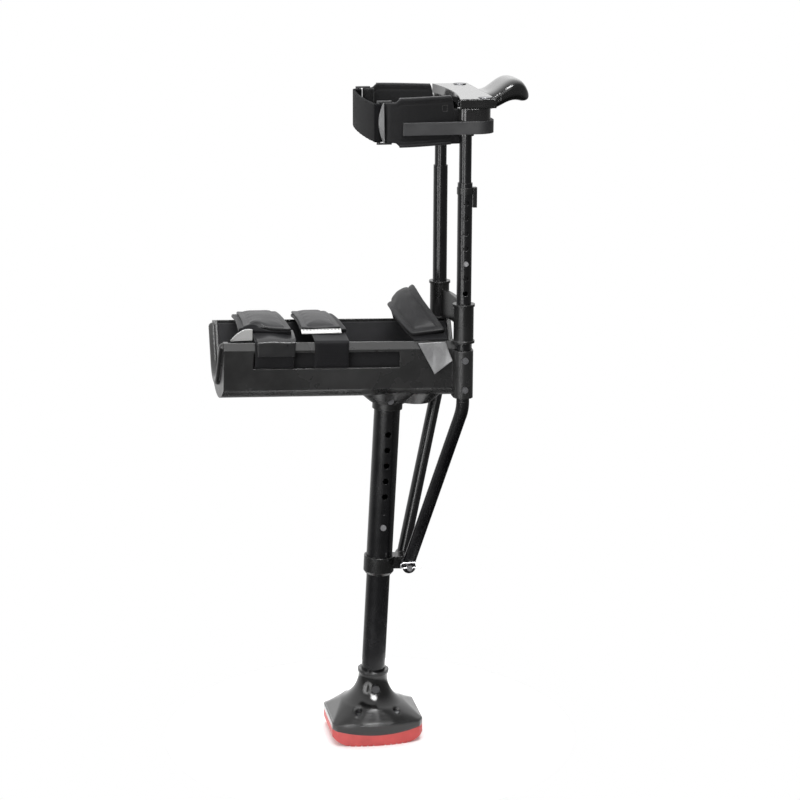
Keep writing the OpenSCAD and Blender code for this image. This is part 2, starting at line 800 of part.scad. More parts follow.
module leg_socket() {
    color(black_matte) difference() {
        on_calf() {
            tube(socket_r, calf_outer_r + press_gap, socket_low_s, flange_s + flange_t);
            tube(flange_r, calf_outer_r + press_gap, flange_s, flange_s + flange_t);
        }
        socket_screw_places() translate([0, 0, socket_low_s])
            cylinder(d = socket_screw_d + 2 * press_gap, h = socket_drop + flange_s);
        on_calf() translate([0, 0, cross_screw_s]) {
            rod_y(socket_screw_d / 2 + press_gap, -flange_r, 0);
            rod_y(socket_head_d / 2 + press_gap, -flange_r, head_room - socket_r);
        }
    }
}

module socket_screws() {
    color(bare_steel) {
        socket_screw_places() {
            translate([0, 0, flange_s - socket_thread])
                cylinder(d = socket_screw_d, h = socket_thread + flange_t + press_gap);
            translate([0, 0, flange_s + flange_t + press_gap]) cylinder(d = socket_head_d, h = socket_head_h);
        }
        on_calf() translate([0, 0, cross_screw_s]) {
            rod_y(socket_screw_d / 2, -socket_r, -calf_inner_r - 2 * slide_gap);
            rod_y(socket_head_d / 2, head_room - socket_r - socket_head_h, head_room - socket_r - press_gap);
        }
    }
}

// outside of the tray across X, or its inside where it is inset
module tray_section(inset, top) {
    half = tray_half - inset;
    polygon([
        [-half, shoulder_z], [half, shoulder_z], [half, rim_z - rim_bevel_h],
        [half - rim_bevel_in, top], [rim_bevel_in - half, top], [-half, rim_z - rim_bevel_h]
    ]);
    intersection() {
        translate([0, belly_z + belly_r]) circle(belly_r - inset, $fn = 2 * $fn);
        translate([-half, belly_z]) square([2 * half, shoulder_z - belly_z + over]);
    }
}

// the inside of the tray, open at the top
module tray_inside(inset) {
    half = tray_half - inset;
    translate([-half, shoulder_z]) square([2 * half, trough_depth + belly_drop]);
    intersection() {
        translate([0, belly_z + belly_r]) circle(belly_r - inset, $fn = 2 * $fn);
        translate([-half, belly_z]) square([2 * half, shoulder_z - belly_z + over]);
    }
}

// the trough for the shin: a round bottom and two straight flanks that touch it
module trough() {
    foot_y = trough_r * cos(trough_turn);
    foot_z = trough_mid_z + trough_r * sin(trough_turn);
    translate([0, trough_mid_z]) circle(trough_r);
    polygon([
        [-foot_y, foot_z], [foot_y, foot_z], [trough_half_w, rim_z], [trough_half_w, rim_z + over],
        [-trough_half_w, rim_z + over], [-trough_half_w, rim_z]
    ]);
}

// the bead round the rear end of the trough: a bent rod, two straight ones and their round tips
module rear_lip() {
    translate([-tray_back, 0, trough_mid_z]) rotate([90, 0, 90]) {
        rotate([0, 0, 180 - trough_turn]) rotate_extrude(angle = 180 + 2 * trough_turn)
            translate([lip_path_r, 0]) circle(lip_r);
        for (side = [0, 1]) mirror([side, 0, 0]) rotate([0, 0, trough_turn]) translate([lip_path_r, 0, 0]) {
            rotate([-90, 0, 0]) cylinder(r = lip_r, h = trough_flank - lip_r);
            translate([0, trough_flank - lip_r, 0]) sphere(lip_r);
        }
    }
}

// boss round the leg socket, from a drop below its seat up
module belly_boss(h, drop, share) {
    on_calf() translate([0, 0, flange_s - belly_boss_h - drop])
        cylinder(r1 = belly_boss_low_r, r2 = belly_boss_low_r + share * h, h = h);
}

module knee_tray() {
    boss_h = belly_drop + belly_boss_h / 2 + belly_boss_drop;
    color(black_matte) difference() {
        union() {
            difference() {
                union() {
                    sloped() along_x(-tray_back, tray_front) tray_section(0, rim_z);
                    belly_boss(boss_h, belly_boss_drop, belly_boss_share);
                    translate([belly_keel, 0, 0]) belly_boss(boss_h, belly_boss_drop, belly_keel_share);
                }
                sloped() along_x(tray_end_t - tray_back, tray_front - tray_end_t) tray_inside(tray_wall);
                sloped() along_x(-tray_back - over, tray_front + over) trough();
            }
            belly_boss(belly_boss_h, 0, belly_boss_share);
            sloped() rear_lip();
            each_side() translate([upright_x, -upright_y, corner_low_z]) {
                cylinder(r = corner_r, h = corner_h);
                translate([-corner_r, 0, 0]) cube([2 * corner_r, corner_r, corner_h]);
            }
        }
        on_calf() translate([0, 0, socket_low_s])
            cylinder(r = socket_r + press_gap, h = socket_drop + belly_drop);
        on_calf() translate([0, 0, flange_s - press_gap]) cylinder(r = flange_r + press_gap, h = tray_side_h);
        on_calf() translate([0, 0, cross_screw_s])
            rod_y(socket_head_d / 2 + driver_gap, -belly_boss_r - belly_boss_drop, 0);
        socket_screw_places() translate([0, 0, flange_s - socket_thread - press_gap])
            cylinder(d = socket_screw_d + 2 * press_gap, h = socket_thread + over);
        sloped() for (side = [-1, 1]) translate([-window_back, side * tray_half - tray_half / 2, window_low_z])
            cube([window_back + window_front, tray_half, window_top_z - window_low_z]);
        each_side() translate([upright_x, -upright_y, 0]) {
            translate([0, 0, corner_mid_z + corner_web / 2])
                cylinder(r = upright_outer_r + press_gap, h = tray_side_h + corner_h);
            translate([0, 0, corner_low_z - over])
                cylinder(r = strut_r + press_gap, h = corner_h / 2 - corner_web / 2 + over);
            for (z = corner_screw_heights()) translate([0, 0, z]) {
                rod_y(corner_screw_d / 2 + press_gap, -2 * corner_r, 0);
                rod_y(corner_head_d / 2 + press_gap, -2 * corner_r, head_room - corner_r);
            }
        }
        brace_room(press_gap);
    }
}

// room in the tray for the sleeves of the cross brace
module brace_room(gap) {
    each_side() on_upright() translate([0, 0, brace_low_z - gap])
        cylinder(r = brace_r + brace_flange + gap, h = brace_h);
}

// heights of the two screws in a front socket
function corner_screw_heights() = [corner_low_z + corner_screw_rise, corner_top_z - corner_screw_rise];

module tray_screws() {
    color(bare_steel) each_side() translate([upright_x, -upright_y, 0])
        for (z = corner_screw_heights()) translate([0, 0, z]) {
            rod_y(corner_screw_d / 2, -corner_r, -strut_r + strut_wall);
            rod_y(corner_head_d / 2, head_room - corner_r - corner_head_h, head_room - corner_r - press_gap);
        }
}

module knee_pad() {
    color(black_cloth) difference() {
        sloped() along_x(-tray_back + tray_end_t + soft_gap, tray_front - tray_end_t - soft_gap) difference() {
            intersection() {
                tray_inside(tray_wall + pad_gap);
                translate([-tray_half, belly_z]) square([tray_w, pad_top_z - belly_z]);
            }
            trough();
        }
        on_calf() cylinder(r = belly_boss_r + soft_gap, h = flange_s + flange_t + socket_head_h + soft_gap);
        each_side() on_upright() translate([0, 0, corner_low_z])
            cylinder(r = corner_r + soft_gap, h = 2 * corner_h);
        brace_room(soft_gap);
        each_side() translate([upright_x - corner_r - soft_gap, -upright_y, corner_low_z])
            cube([2 * corner_r + 2 * soft_gap, corner_r + soft_gap, corner_h + soft_gap]);
    }
}

module strut_collar() {
    color(black_matte) on_calf() translate([0, 0, calf_outer_from]) difference() {
        union() {
            cylinder(r = collar_r, h = collar_h);
            translate([0, 0, -collar_taper_h])
                cylinder(r1 = calf_outer_r, r2 = collar_r, h = collar_taper_h);
            translate([0, -lug_half_w, lug_rise - lug_r]) cube([lug_reach, 2 * lug_half_w, 2 * lug_r]);
            translate([lug_reach, 0, lug_rise]) rod_y(lug_r, -lug_half_w, lug_half_w);
        }
        translate([0, 0, -press_gap]) cylinder(r = calf_outer_r + press_gap, h = collar_h + over);
        translate([0, 0, -collar_taper_h - over]) cylinder(r = calf_outer_bore_r, h = collar_h);
        translate([lug_reach, 0, lug_rise]) rod_y(pin_r + press_gap, -lug_half_w - over, lug_half_w + over);
    }
}

// the run of a strut on the right-hand side, down to the pin
module strut_path(r) {
    translate([upright_x, -upright_y, 0]) rotate([0, 0, strut_turn]) {
        translate([0, 0, strut_bend_from - bend_lap])
            cylinder(r = r, h = strut_top_z - press_gap - strut_bend_from + bend_lap);
        translate([strut_bend_r, 0, strut_bend_from]) rotate([90, 0, 0]) rotate([0, 0, 180])
            rotate_extrude(angle = strut_tilt) translate([strut_bend_r, 0]) circle(r + bend_swell);
        translate([strut_bend_r * (1 - cos(strut_tilt)), 0, strut_bend_from - strut_bend_r * sin(strut_tilt)])
            rotate([0, 180 - strut_tilt, 0]) translate([0, 0, -bend_lap])
                cylinder(r = r, h = strut_run + bend_lap);
    }
}

module strut() {
    color(black_paint) difference() {
        union() {
            strut_path(strut_r);
            translate([pin_x, 0, pin_z]) rod_y(eye_r, -eye_y - eye_w / 2, -eye_y + eye_w / 2);
        }
        difference() {
            strut_path(strut_r - strut_wall);
            translate([pin_x, 0, pin_z]) rod_y(eye_r, -upright_y, upright_y);
        }
        translate([pin_x, 0, pin_z]) {
            rod_y(pin_r + press_gap, -upright_y, upright_y);
            rod_y(washer_r + head_room, -upright_y, -eye_y - eye_w / 2 - press_gap);
        }
        translate([upright_x, -upright_y, corner_low_z + corner_screw_rise])
            rod_y(corner_screw_d / 2 + press_gap, -2 * corner_r, 0);
    }
}

module strut_right() {
    strut();
}

module strut_left() {
    scale_side(1) strut();
}

module strut_pin() {
    color(bare_steel) translate([pin_x, 0, pin_z]) difference() {
        union() {
            rod_y(pin_r, -pin_half - pin_tip, pin_half);
            rod_y(washer_r, pin_half + press_gap, pin_half + pin_head_t);
            rod_y(pin_r, pin_half - over, pin_half + pin_head_t);
        }
        translate([0, -pin_half - pin_tip / 2, 0]) rotate([0, 90, 0])
            cylinder(r = clip_wire_r + press_gap, h = 4 * pin_r, center = true);
    }
}

// a bent wire: one straight leg through the pin, one over it, joined by a half ring behind
module strut_pin_clip() {
    color(bare_steel) translate([pin_x, -pin_half - pin_tip / 2, pin_z]) {
        translate([-clip_leg / 2, 0, 0]) rotate([0, 90, 0]) cylinder(r = clip_wire_r, h = clip_long_leg);
        translate([-clip_leg / 2, 0, clip_bow]) rotate([0, 90, 0]) cylinder(r = clip_wire_r, h = clip_leg);
        translate([-clip_leg / 2, 0, clip_bow / 2]) rotate([90, 0, 0]) rotate([0, 0, 90])
            rotate_extrude(angle = 180) translate([clip_bow / 2, 0]) circle(clip_wire_r);
    }
}

module strut_washers() {
    color(bare_steel) for (side = [-1, 1]) scale_side(side)
        translate([pin_x, 0, pin_z]) difference() {
            rod_y(washer_r, -lug_half_w - press_gap - washer_t, -lug_half_w - press_gap);
            rod_y(pin_r + press_gap, -upright_y, 0);
        }
}

// on the right-hand upright's axis
module on_upright() {
    translate([upright_x, -upright_y, 0]) children();
}

module upright_outer() {
    color(black_paint) on_upright() difference() {
        tube(upright_outer_r, upright_outer_bore_r, corner_mid_z + corner_web / 2 + press_gap,
            upright_outer_top);
        for (i = [0 : upright_hole_count - 1]) translate([0, 0, upright_hole_low + i * upright_pitch])
            rod_y(upright_button_d / 2 + button_gap, -corner_r, 0);
        translate([0, 0, corner_top_z - corner_screw_rise])
            rod_y(corner_screw_d / 2 + press_gap, -2 * corner_r, 0);
    }
}

module upright_outer_right() {
    upright_outer();
}

module upright_outer_left() {
    scale_side(1) upright_outer();
}

module cross_brace() {
    color(black_matte) difference() {
        union() {
            each_side() on_upright() {
                translate([0, 0, brace_low_z]) cylinder(r = brace_r, h = brace_h);
                for (z = [brace_low_z, brace_low_z + brace_h - brace_flange_h])
                    translate([0, 0, z]) cylinder(r = brace_r + brace_flange, h = brace_flange_h);
            }
            translate([0, 0, brace_low_z + brace_plate_low]) linear_extrude(brace_plate_h) intersection() {
                translate([upright_x + brace_bow - brace_mid_r, 0]) difference() {
                    circle(brace_mid_r + brace_t / 2, $fn = 4 * $fn);
                    circle(brace_mid_r - brace_t / 2, $fn = 4 * $fn);
                }
                translate([upright_x - brace_bow, -upright_y]) square([4 * brace_bow, 2 * upright_y]);
            }
        }
        each_side() on_upright() translate([0, 0, brace_low_z - over])
            cylinder(r = upright_outer_r + press_gap, h = brace_h + 2 * over);
    }
}

// a band round the right-hand outer upright, with a tab in front
module upright_clip() {
    clip_r = upright_outer_r + press_gap;
    top_z = upright_outer_top - clip_drop;
    color(black_matte) on_upright() {
        tube(clip_r + clip_t, clip_r, top_z - clip_h / 3, top_z);
        translate([clip_r + clip_t / 2, -clip_tab_w / 2, top_z - clip_h])
            cube([clip_tab_t, clip_tab_w, clip_h]);
    }
}

// a strap that is looped round both rails and arches over the trough
module strap_section() {
    difference() {
        translate([0, strap_low_z + strap_arch + web_t - strap_arch_r]) circle(strap_arch_r, $fn = 4 * $fn);
        translate([0, strap_low_z + strap_arch - strap_arch_r]) circle(strap_arch_r, $fn = 4 * $fn);
        translate([-strap_arch_r, -strap_arch_r + strap_low_z - over - 2 * strap_arch_r])
            square([2 * strap_arch_r, 3 * strap_arch_r]);
        for (side = [-1, 1]) translate([side * (strap_half + strap_arch_r) - strap_arch_r, rim_z - over])
            square([2 * strap_arch_r, strap_arch_r]);
    }
    loop_low = window_low_z + soft_gap;
    loop_top = strap_low_z + web_t;
    loop_mid_y = (loop_out_y + loop_in_y) / 2;
    for (side = [-1, 1]) translate([side * loop_mid_y, (loop_low + loop_top) / 2]) difference() {
        square([loop_out_y - loop_in_y + 2 * web_t, loop_top - loop_low], center = true);
        square([loop_out_y - loop_in_y, loop_top - loop_low - 2 * web_t], center = true);
    }
}

module strap_webbing(back, wide) {
    along_x(-back - wide / 2, -back + wide / 2) strap_section();
}

module rear_strap_webbing() {
    color(black_cloth) sloped() strap_webbing(rear_strap_back, rear_strap_w);
}

module front_strap_webbing() {
    color(black_cloth) sloped() strap_webbing(front_strap_back, front_strap_w);
}

// a stuffed pad across the tray, thin at its edges and wider towards the right-hand side
module strap_pad(back, wide, narrow) {
    near_share = (strap_pad_half - strap_pad_near) / (2 * strap_pad_half);
    function across(v) = lerp(near_share, 1, v);
    function at(u, v, z) = [
        -back + (u - 0.5) * (wide - narrow * across(v)),
        lerp(-strap_pad_half, strap_pad_half, across(v)),
        strap_low_z + web_t + soft_gap + strap_arch * bow(across(v)) + z
    ];
    function full(u, v) = (1 - (2 * u - 1) ^ 4) * (1 - (2 * v - 1) ^ 8);
    between(
        function (u, v) at(u, v, strap_pad_edge + (strap_pad_t - strap_pad_edge) * full(u, v)),
        function (u, v) at(u, v, 0),
        grid_across, grid_along
    );
}

module rear_strap_pad() {
    color(grey_vinyl) sloped() strap_pad(rear_pad_back, rear_pad_w, rear_pad_narrow);
}

module front_strap_pad() {
    color(grey_vinyl) sloped() strap_pad(front_pad_back, front_pad_w, front_pad_narrow);
}

function knee_strap_ahead(t) =
    unit(bezier(knee_strap_line, min(1, t + look_share)) - bezier(knee_strap_line, max(0, t - look_share)));
function knee_strap_across(t) = unit([1, 0, knee_strap_tilt_share * bow(t)]);
function knee_strap_out(t) = unit(cross(knee_strap_ahead(t), knee_strap_across(t)));
function knee_strap_at(u, t, rise, w) =
    bezier(knee_strap_line, t) + (0.5 - u) * w * knee_strap_across(t) + rise * knee_strap_out(t);

module knee_strap_webbing() {
    color(black_cloth) sloped() between(
        function (u, v) knee_strap_at(u, v, web_t / 2, knee_strap_w),
        function (u, v) knee_strap_at(u, v, -web_t / 2, knee_strap_w),
        2, ribbon_steps
    );
}

module knee_strap_pad() {
    low = web_t / 2 + soft_gap;
    function full(u, v) = (1 - (2 * u - 1) ^ 4) * (1 - (2 * v - 1) ^ 6);
    function place(v) = lerp(knee_pad_shares[0], knee_pad_shares[1], v);
    function height(u, v) = low + lerp(strap_pad_edge, knee_strap_pad_t, full(u, v));
    color(grey_vinyl) sloped() between(
        function (u, v) knee_strap_at(u, place(v), height(u, v), knee_strap_w),
        function (u, v) knee_strap_at(u, place(v), low, knee_strap_w),
        grid_across, grid_along
    );
}

module knee_strap_tail() {
    color(grey_vinyl) sloped() translate([tail_x, tail_t / 2 - tail_y, rim_z - tail_drop]) rotate([90, 0, 0])
        linear_extrude(tail_t) polygon(tail_corners);
}

module upright_inner() {
    color(black_paint) on_upright() difference() {
        tube(upright_inner_r, upright_bore_r, upright_inner_from, upright_inner_to);
        translate([0, 0, upright_button_at]) rod_y(upright_button_d / 2 + button_gap, -corner_r, 0);
        rivet_holes();
    }
}

module upright_inner_right() {
    upright_inner();
}

module upright_inner_left() {
    scale_side(1) upright_inner();
}

module upright_plugs() {
    color(black_matte) each_side() on_upright() translate([0, 0, upright_inner_from - press_gap]) {
        cylinder(r = upright_bore_r - press_gap, h = upright_plug_h);
        translate([0, 0, -upright_plug_cap]) cylinder(r = upright_inner_r - slide_gap, h = upright_plug_cap);
    }
}

module upright_spring() {
    back = sqrt(upright_bore_r ^ 2 - (spring_w / 2) ^ 2) - press_gap;
    color(bare_steel) on_upright() translate([0, 0, upright_button_at]) mirror([0, 0, 1])
        leaf_spring(upright_flange_t - upright_flange_y + press_gap, back);
}

module upright_spring_right() {
    upright_spring();
}

module upright_spring_left() {
    scale_side(1) upright_spring();
}

module upright_button() {
    color(bare_steel) on_upright() translate([0, 0, upright_button_at]) {
        rod_y(upright_button_d / 2, -upright_outer_r - upright_proud, upright_flange_t - upright_flange_y);
        rod_y(upright_flange_d / 2, -upright_flange_y, upright_flange_t - upright_flange_y);
    }
}

module upright_button_right() {
    upright_button();
}

module upright_button_left() {
    scale_side(1) upright_button();
}

// the holes of the rivets that hold a thigh panel to a boss of the yoke
module rivet_holes() {
    for (z = rivet_heights()) translate([0, 0, z]) rod_y(rivet_d / 2 + press_gap, 0, 2 * boss_r);
}

function rivet_heights() = [yoke_low_z + rivet_rise, tongue_top_z - rivet_rise];

// plan of the inside of the cuff arm, grown or shrunk: a U round the yoke, open to the rear
module cuff_plan(grow, from) {
    inner = cuff_in_y + grow;
    front = yoke_front + press_gap + grow;
    corner = cuff_round + grow;
    translate([from, -inner]) square([front - corner - from, 2 * inner]);
    translate([from, corner - inner]) square([front - from, 2 * (inner - corner)]);
    for (side = [-1, 1]) translate([front - corner, side * (inner - corner)]) circle(corner);
}

module thigh_yoke() {
    color(black_gloss) difference() {
        union() {
            each_side() on_upright() translate([0, 0, yoke_low_z])
                cylinder(r = boss_r, h = yoke_top_z - yoke_low_z);
            translate([0, 0, yoke_bar_low]) linear_extrude(yoke_top_z - yoke_bar_low) difference() {
                cuff_plan(-press_gap, upright_x);
                translate([0, boss_r / 2 - upright_y]) square([yoke_bar_back, 2 * upright_y - boss_r]);
            }
        }
        each_side() on_upright() {
            tube_top = upright_inner_to + press_gap;
            translate([0, 0, yoke_low_z - over])
                cylinder(r = upright_inner_r + press_gap, h = tube_top - yoke_low_z + over);
            rivet_holes();
        }
        each_side() translate([bolt_x, -upright_y, yoke_top_z - bolt_thread - press_gap])
            cylinder(d = bolt_d + 2 * press_gap, h = bolt_thread + over);
    }
}

module handle() {
    color(black_gloss) translate([0, 0, yoke_top_z]) difference() {
        linear_extrude(plate_t) difference() {
            translate([plate_back_x, -plate_half_w])
                square([plate_front_x - plate_back_x, 2 * plate_half_w]);
            translate([plate_back_x + plate_hollow - plate_hollow_r, 0])
                circle(plate_hollow_r, $fn = 4 * $fn);
        }
        each_side() translate([bolt_x, -upright_y, 0]) {
            translate([0, 0, -over]) cylinder(d = bolt_d + 2 * press_gap, h = plate_t + over);
            translate([0, 0, bolt_floor]) cylinder(d = bolt_pocket_d, h = plate_t);
        }
        translate([bolt_x, -upright_y - bolt_pocket_d / 2, bolt_floor])
            cube([plate_front_x, bolt_pocket_d, plate_t]);
    }
}

// the upswept grip: rounded sections that follow a rising and falling line
module hand_grip() {
    control_x = [for (share = grip_control_shares) plate_front_x + grip_len * share];
    top_z = [for (share = grip_top_shares) plate_top_z + grip_rise * share];
    low_z = [for (share = grip_low_shares) grip_low_z + grip_drop * share];
    top_line = [
        [plate_front_x, 0, plate_top_z], [control_x[0], 0, top_z[0]], [control_x[1], 0, top_z[1]],
        [grip_front_x, 0, top_z[2]]
    ];
    low_line = [
        [plate_front_x, 0, grip_low_z], [control_x[0], 0, low_z[0]], [control_x[1], 0, low_z[1]],
        [grip_front_x, 0, low_z[2]]
    ];
    function wave(a) = sign(a) * abs(a) ^ (2 / grip_round_share);
    function nose(t) = sqrt(1 - (1 - grip_tip_share ^ 2)
        * (max(0, t - grip_nose_share) / (1 - grip_nose_share)) ^ 2);
    function wide(t) = grip_half_w * (1 - grip_narrow_share * t ^ 6) - grip_nose_in * (1 - nose(t));
    function section(t, turn) =
        let (top = bezier(top_line, t), low = bezier(low_line, t), mid = (top + low) / 2)
        mid + (top - low) / 2 * nose(t) * wave(sin(turn)) + [0, wide(t) * wave(cos(turn)), 0];
    points = [for (i = [0 : grip_stations]) for (j = [0 : grip_ring - 1])
        section(i / grip_stations, 360 * (j + 0.5) / grip_ring)];
    function at(i, j) = i * grip_ring + j % grip_ring;
    faces = concat(
        [for (i = [0 : grip_stations - 1]) for (j = [0 : grip_ring - 1])
            [at(i, j), at(i, j + 1), at(i + 1, j)]],
        [for (i = [0 : grip_stations - 1]) for (j = [0 : grip_ring - 1])
            [at(i + 1, j), at(i, j + 1), at(i + 1, j + 1)]],
        [[for (j = [grip_ring - 1 : -1 : 0]) at(0, j)]],
        [[for (j = [0 : grip_ring - 1]) at(grip_stations, j)]]
    );
    color(black_gloss) polyhedron(points, faces);
}

module handle_bolts() {
    color(bare_steel) each_side() translate([bolt_x, -upright_y, yoke_top_z]) {
        translate([0, 0, -bolt_thread]) cylinder(d = bolt_d, h = bolt_thread + plate_t);
        translate([0, 0, bolt_floor + press_gap])
            cylinder(d = bolt_head_d, h = plate_t + bolt_proud - bolt_floor);
    }
}

module thigh_panel() {
    color(black_cloth) difference() {
        union() {
            translate([0, 0, panel_low_z]) linear_extrude(panel_h) band(panel_line, panel_t);
            translate([0, 0, fold_low_z]) linear_extrude(fold_h) difference() {
                union() {
                    translate([buckle_x + bar_x, -buckle_y]) circle(panel_loop_r);
                    translate([buckle_x + bar_x, -buckle_y - panel_loop_r]) square([fold_reach, panel_t]);
                }
                translate([buckle_x + bar_x, -buckle_y]) circle(loop_in);
            }
            translate([panel_end_x - over, -tongue_y - panel_t / 2, panel_low_z])
                cube([tongue_x - panel_end_x + over, panel_t, tongue_top_z - panel_low_z]);
        }
        on_upright() rivet_holes();
    }
}

module thigh_panel_right() {
    thigh_panel();
}

module thigh_panel_left() {
    scale_side(1) thigh_panel();
}

module thigh_strap() {
    start_x = buckle_x - bar_x - loop_in - fold_bulge - elastic_t / 2;
    strap_line = [
        [start_x, -buckle_y], [start_x - elastic_bow, -buckle_y / 2],
        [start_x - elastic_bow, buckle_y / 2], [start_x, buckle_y]
    ];
    color(black_cloth) translate([0, 0, elastic_low_z]) {
        linear_extrude(elastic_h) band(strap_line, elastic_t);
        for (side = [-1, 1]) translate([buckle_x - bar_x, side * buckle_y, fold_edge])
            tube(elastic_loop_r, loop_in, 0, elastic_h - 2 * fold_edge);
    }
}

module thigh_buckles() {
    color(grey_vinyl) each_side() translate([buckle_x, -buckle_y, buckle_low_z - buckle_bar_t]) {
        for (end = [-1, 1]) translate([end * bar_x, 0, 0])
            cylinder(r = bar_r, h = buckle_h + 2 * buckle_bar_t);
        for (z = [0, buckle_h + buckle_bar_t]) translate([-bar_x, -bar_r, z])
            cube([2 * bar_x, 2 * bar_r, buckle_bar_t]);
    }
}

module cuff_arm() {
    color(grey_matte) translate([0, 0, cuff_low_z]) linear_extrude(cuff_h) difference() {
        cuff_plan(cuff_t, cuff_back_x);
        cuff_plan(0, cuff_back_x - over);
    }
}

module thigh_rivets() {
    shank_to = boss_r + panel_t + 2 * soft_gap;
    color(bare_steel) each_side() on_upright() for (z = rivet_heights()) translate([0, 0, z]) {
        rod_y(rivet_d / 2, boss_r - rivet_in, shank_to);
        rod_y(rivet_head_d / 2, shank_to, shank_to + rivet_head_h);
    }
}

calf_inner_tube();
foot_shell();
foot_sole();
foot_screws();
foot_bolt();
calf_tube_plug();
calf_button_spring();
calf_button();
calf_outer_tube();
leg_socket();
socket_screws();
knee_tray();
knee_pad();
strut_collar();
strut_left();
strut_right();
strut_pin();
strut_pin_clip();
strut_washers();
upright_outer_left();
upright_outer_right();
tray_screws();
cross_brace();
upright_clip();
rear_strap_webbing();
rear_strap_pad();
front_strap_webbing();
front_strap_pad();
knee_strap_webbing();
knee_strap_pad();
knee_strap_tail();
upright_inner_left();
upright_inner_right();
upright_plugs();
upright_spring_left();
upright_spring_right();
upright_button_left();
upright_button_right();
thigh_yoke();
handle();
hand_grip();
handle_bolts();
thigh_panel_left();
thigh_panel_right();
thigh_strap();
thigh_buckles();
cuff_arm();
thigh_rivets();
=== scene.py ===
# %% [markdown]
# # A hands-free knee crutch, dressed for the studio
# The tubes, the shin tray, the foot and the handle are finished solids, and they come in as a fixed frame.
# They could be drawn again here, but then two shapes would have to agree. So the solids keep their shape and
# only get a finish, and this file makes what is sewn or soft: pads, straps and the thigh band. Of the hard
# parts, only the hand grip and the faces of the buckles are drawn here.

# %% Load the frame
import json
import math

import bpy
import numpy as np
from mathutils import Matrix, Vector


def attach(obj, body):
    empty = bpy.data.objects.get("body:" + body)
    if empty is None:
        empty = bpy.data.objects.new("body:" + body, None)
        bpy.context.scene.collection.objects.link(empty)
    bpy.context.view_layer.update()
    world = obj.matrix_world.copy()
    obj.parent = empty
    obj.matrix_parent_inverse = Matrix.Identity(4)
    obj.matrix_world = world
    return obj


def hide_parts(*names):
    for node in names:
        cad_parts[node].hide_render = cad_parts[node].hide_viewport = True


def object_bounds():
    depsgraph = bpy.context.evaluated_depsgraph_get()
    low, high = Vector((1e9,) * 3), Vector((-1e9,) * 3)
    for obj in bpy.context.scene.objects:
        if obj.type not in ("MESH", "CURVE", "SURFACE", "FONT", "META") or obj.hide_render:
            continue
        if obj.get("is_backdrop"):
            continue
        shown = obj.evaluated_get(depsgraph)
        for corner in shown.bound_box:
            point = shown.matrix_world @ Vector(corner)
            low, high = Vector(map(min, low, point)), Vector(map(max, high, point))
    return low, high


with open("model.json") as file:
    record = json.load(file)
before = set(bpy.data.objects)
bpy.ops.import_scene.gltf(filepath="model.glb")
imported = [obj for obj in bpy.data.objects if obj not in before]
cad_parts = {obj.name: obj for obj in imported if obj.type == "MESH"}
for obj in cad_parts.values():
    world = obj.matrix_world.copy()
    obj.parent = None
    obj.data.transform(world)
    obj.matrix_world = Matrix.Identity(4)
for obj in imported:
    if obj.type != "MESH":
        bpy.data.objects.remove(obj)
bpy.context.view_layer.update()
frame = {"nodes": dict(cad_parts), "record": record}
nodes = frame["nodes"]
MM = 0.001

# %% [markdown]
# ## Lines
# Every soft piece starts from a line: a strap's path, a panel's plan, a seam. Lines are arrays of points in
# millimetres, drawn with cubic curves and arcs, and then given points an even step apart.

# %% Points, lines and curves
ALONG_X = np.array([1.0, 0.0, 0.0])
UP = np.array([0.0, 0.0, 1.0])


def xyz(x, y, z):
    """Points from their three coordinates, where one number may stand for all points."""
    return np.stack(np.broadcast_arrays(x, y, z), axis=-1)


def unit(vectors):
    """Each vector divided by its length."""
    return vectors / np.linalg.norm(vectors, axis=-1, keepdims=True)


def heading(line):
    """The direction of a line at each of its points."""
    return unit(np.gradient(line, axis=0))


def travelled(line):
    """How far along a line each of its points lies."""
    return np.concatenate([[0], np.cumsum(np.linalg.norm(np.diff(line, axis=0), axis=1))])


def at(places, far, values):
    """Values at places along a line, between those at its points, which lie as far along as far says."""
    return xyz(*(np.interp(places, far, column) for column in values.T))


def even(line, step):
    """The same line with its points an even step apart."""
    far = travelled(line)
    return at(np.linspace(0, far[-1], max(2, int(round(far[-1] / step)) + 1)), far, line)


def bezier(controls, t):
    """A cubic curve through the first and last of four control points, at the shares t."""
    a, b, c, d = (np.asarray(p, float) for p in controls)
    t = np.asarray(t)[:, None]
    return a * (1 - t) ** 3 + b * 3 * t * (1 - t) ** 2 + c * 3 * t ** 2 * (1 - t) + d * t ** 3


def arc(middle, radius, start, end, steps):
    """Points on part of a circle in plan, with angles in degrees."""
    turn = np.radians(np.linspace(start, end, steps))
    return xyz(middle[0] + radius * np.cos(turn), middle[1] + radius * np.sin(turn), 0.0)


def bow(t):
    """A hump that is 0 at both ends and 1 halfway."""
    return 4 * t * (1 - t)


def hill(way, width):
    """A hill that is 1 where way is 0 and falls away on both sides over the width."""
    return np.exp(-(way / width) ** 2)


# %% [markdown]
# ## Skins over rings of points
# A soft piece is a closed profile that is carried along its line. A curve object with a bevel could do that,
# but its section could not swell, narrow or get a seam. A grid of points, worked out as one array, can: one
# ring of points for each step along the line, joined to the next ring by quads.

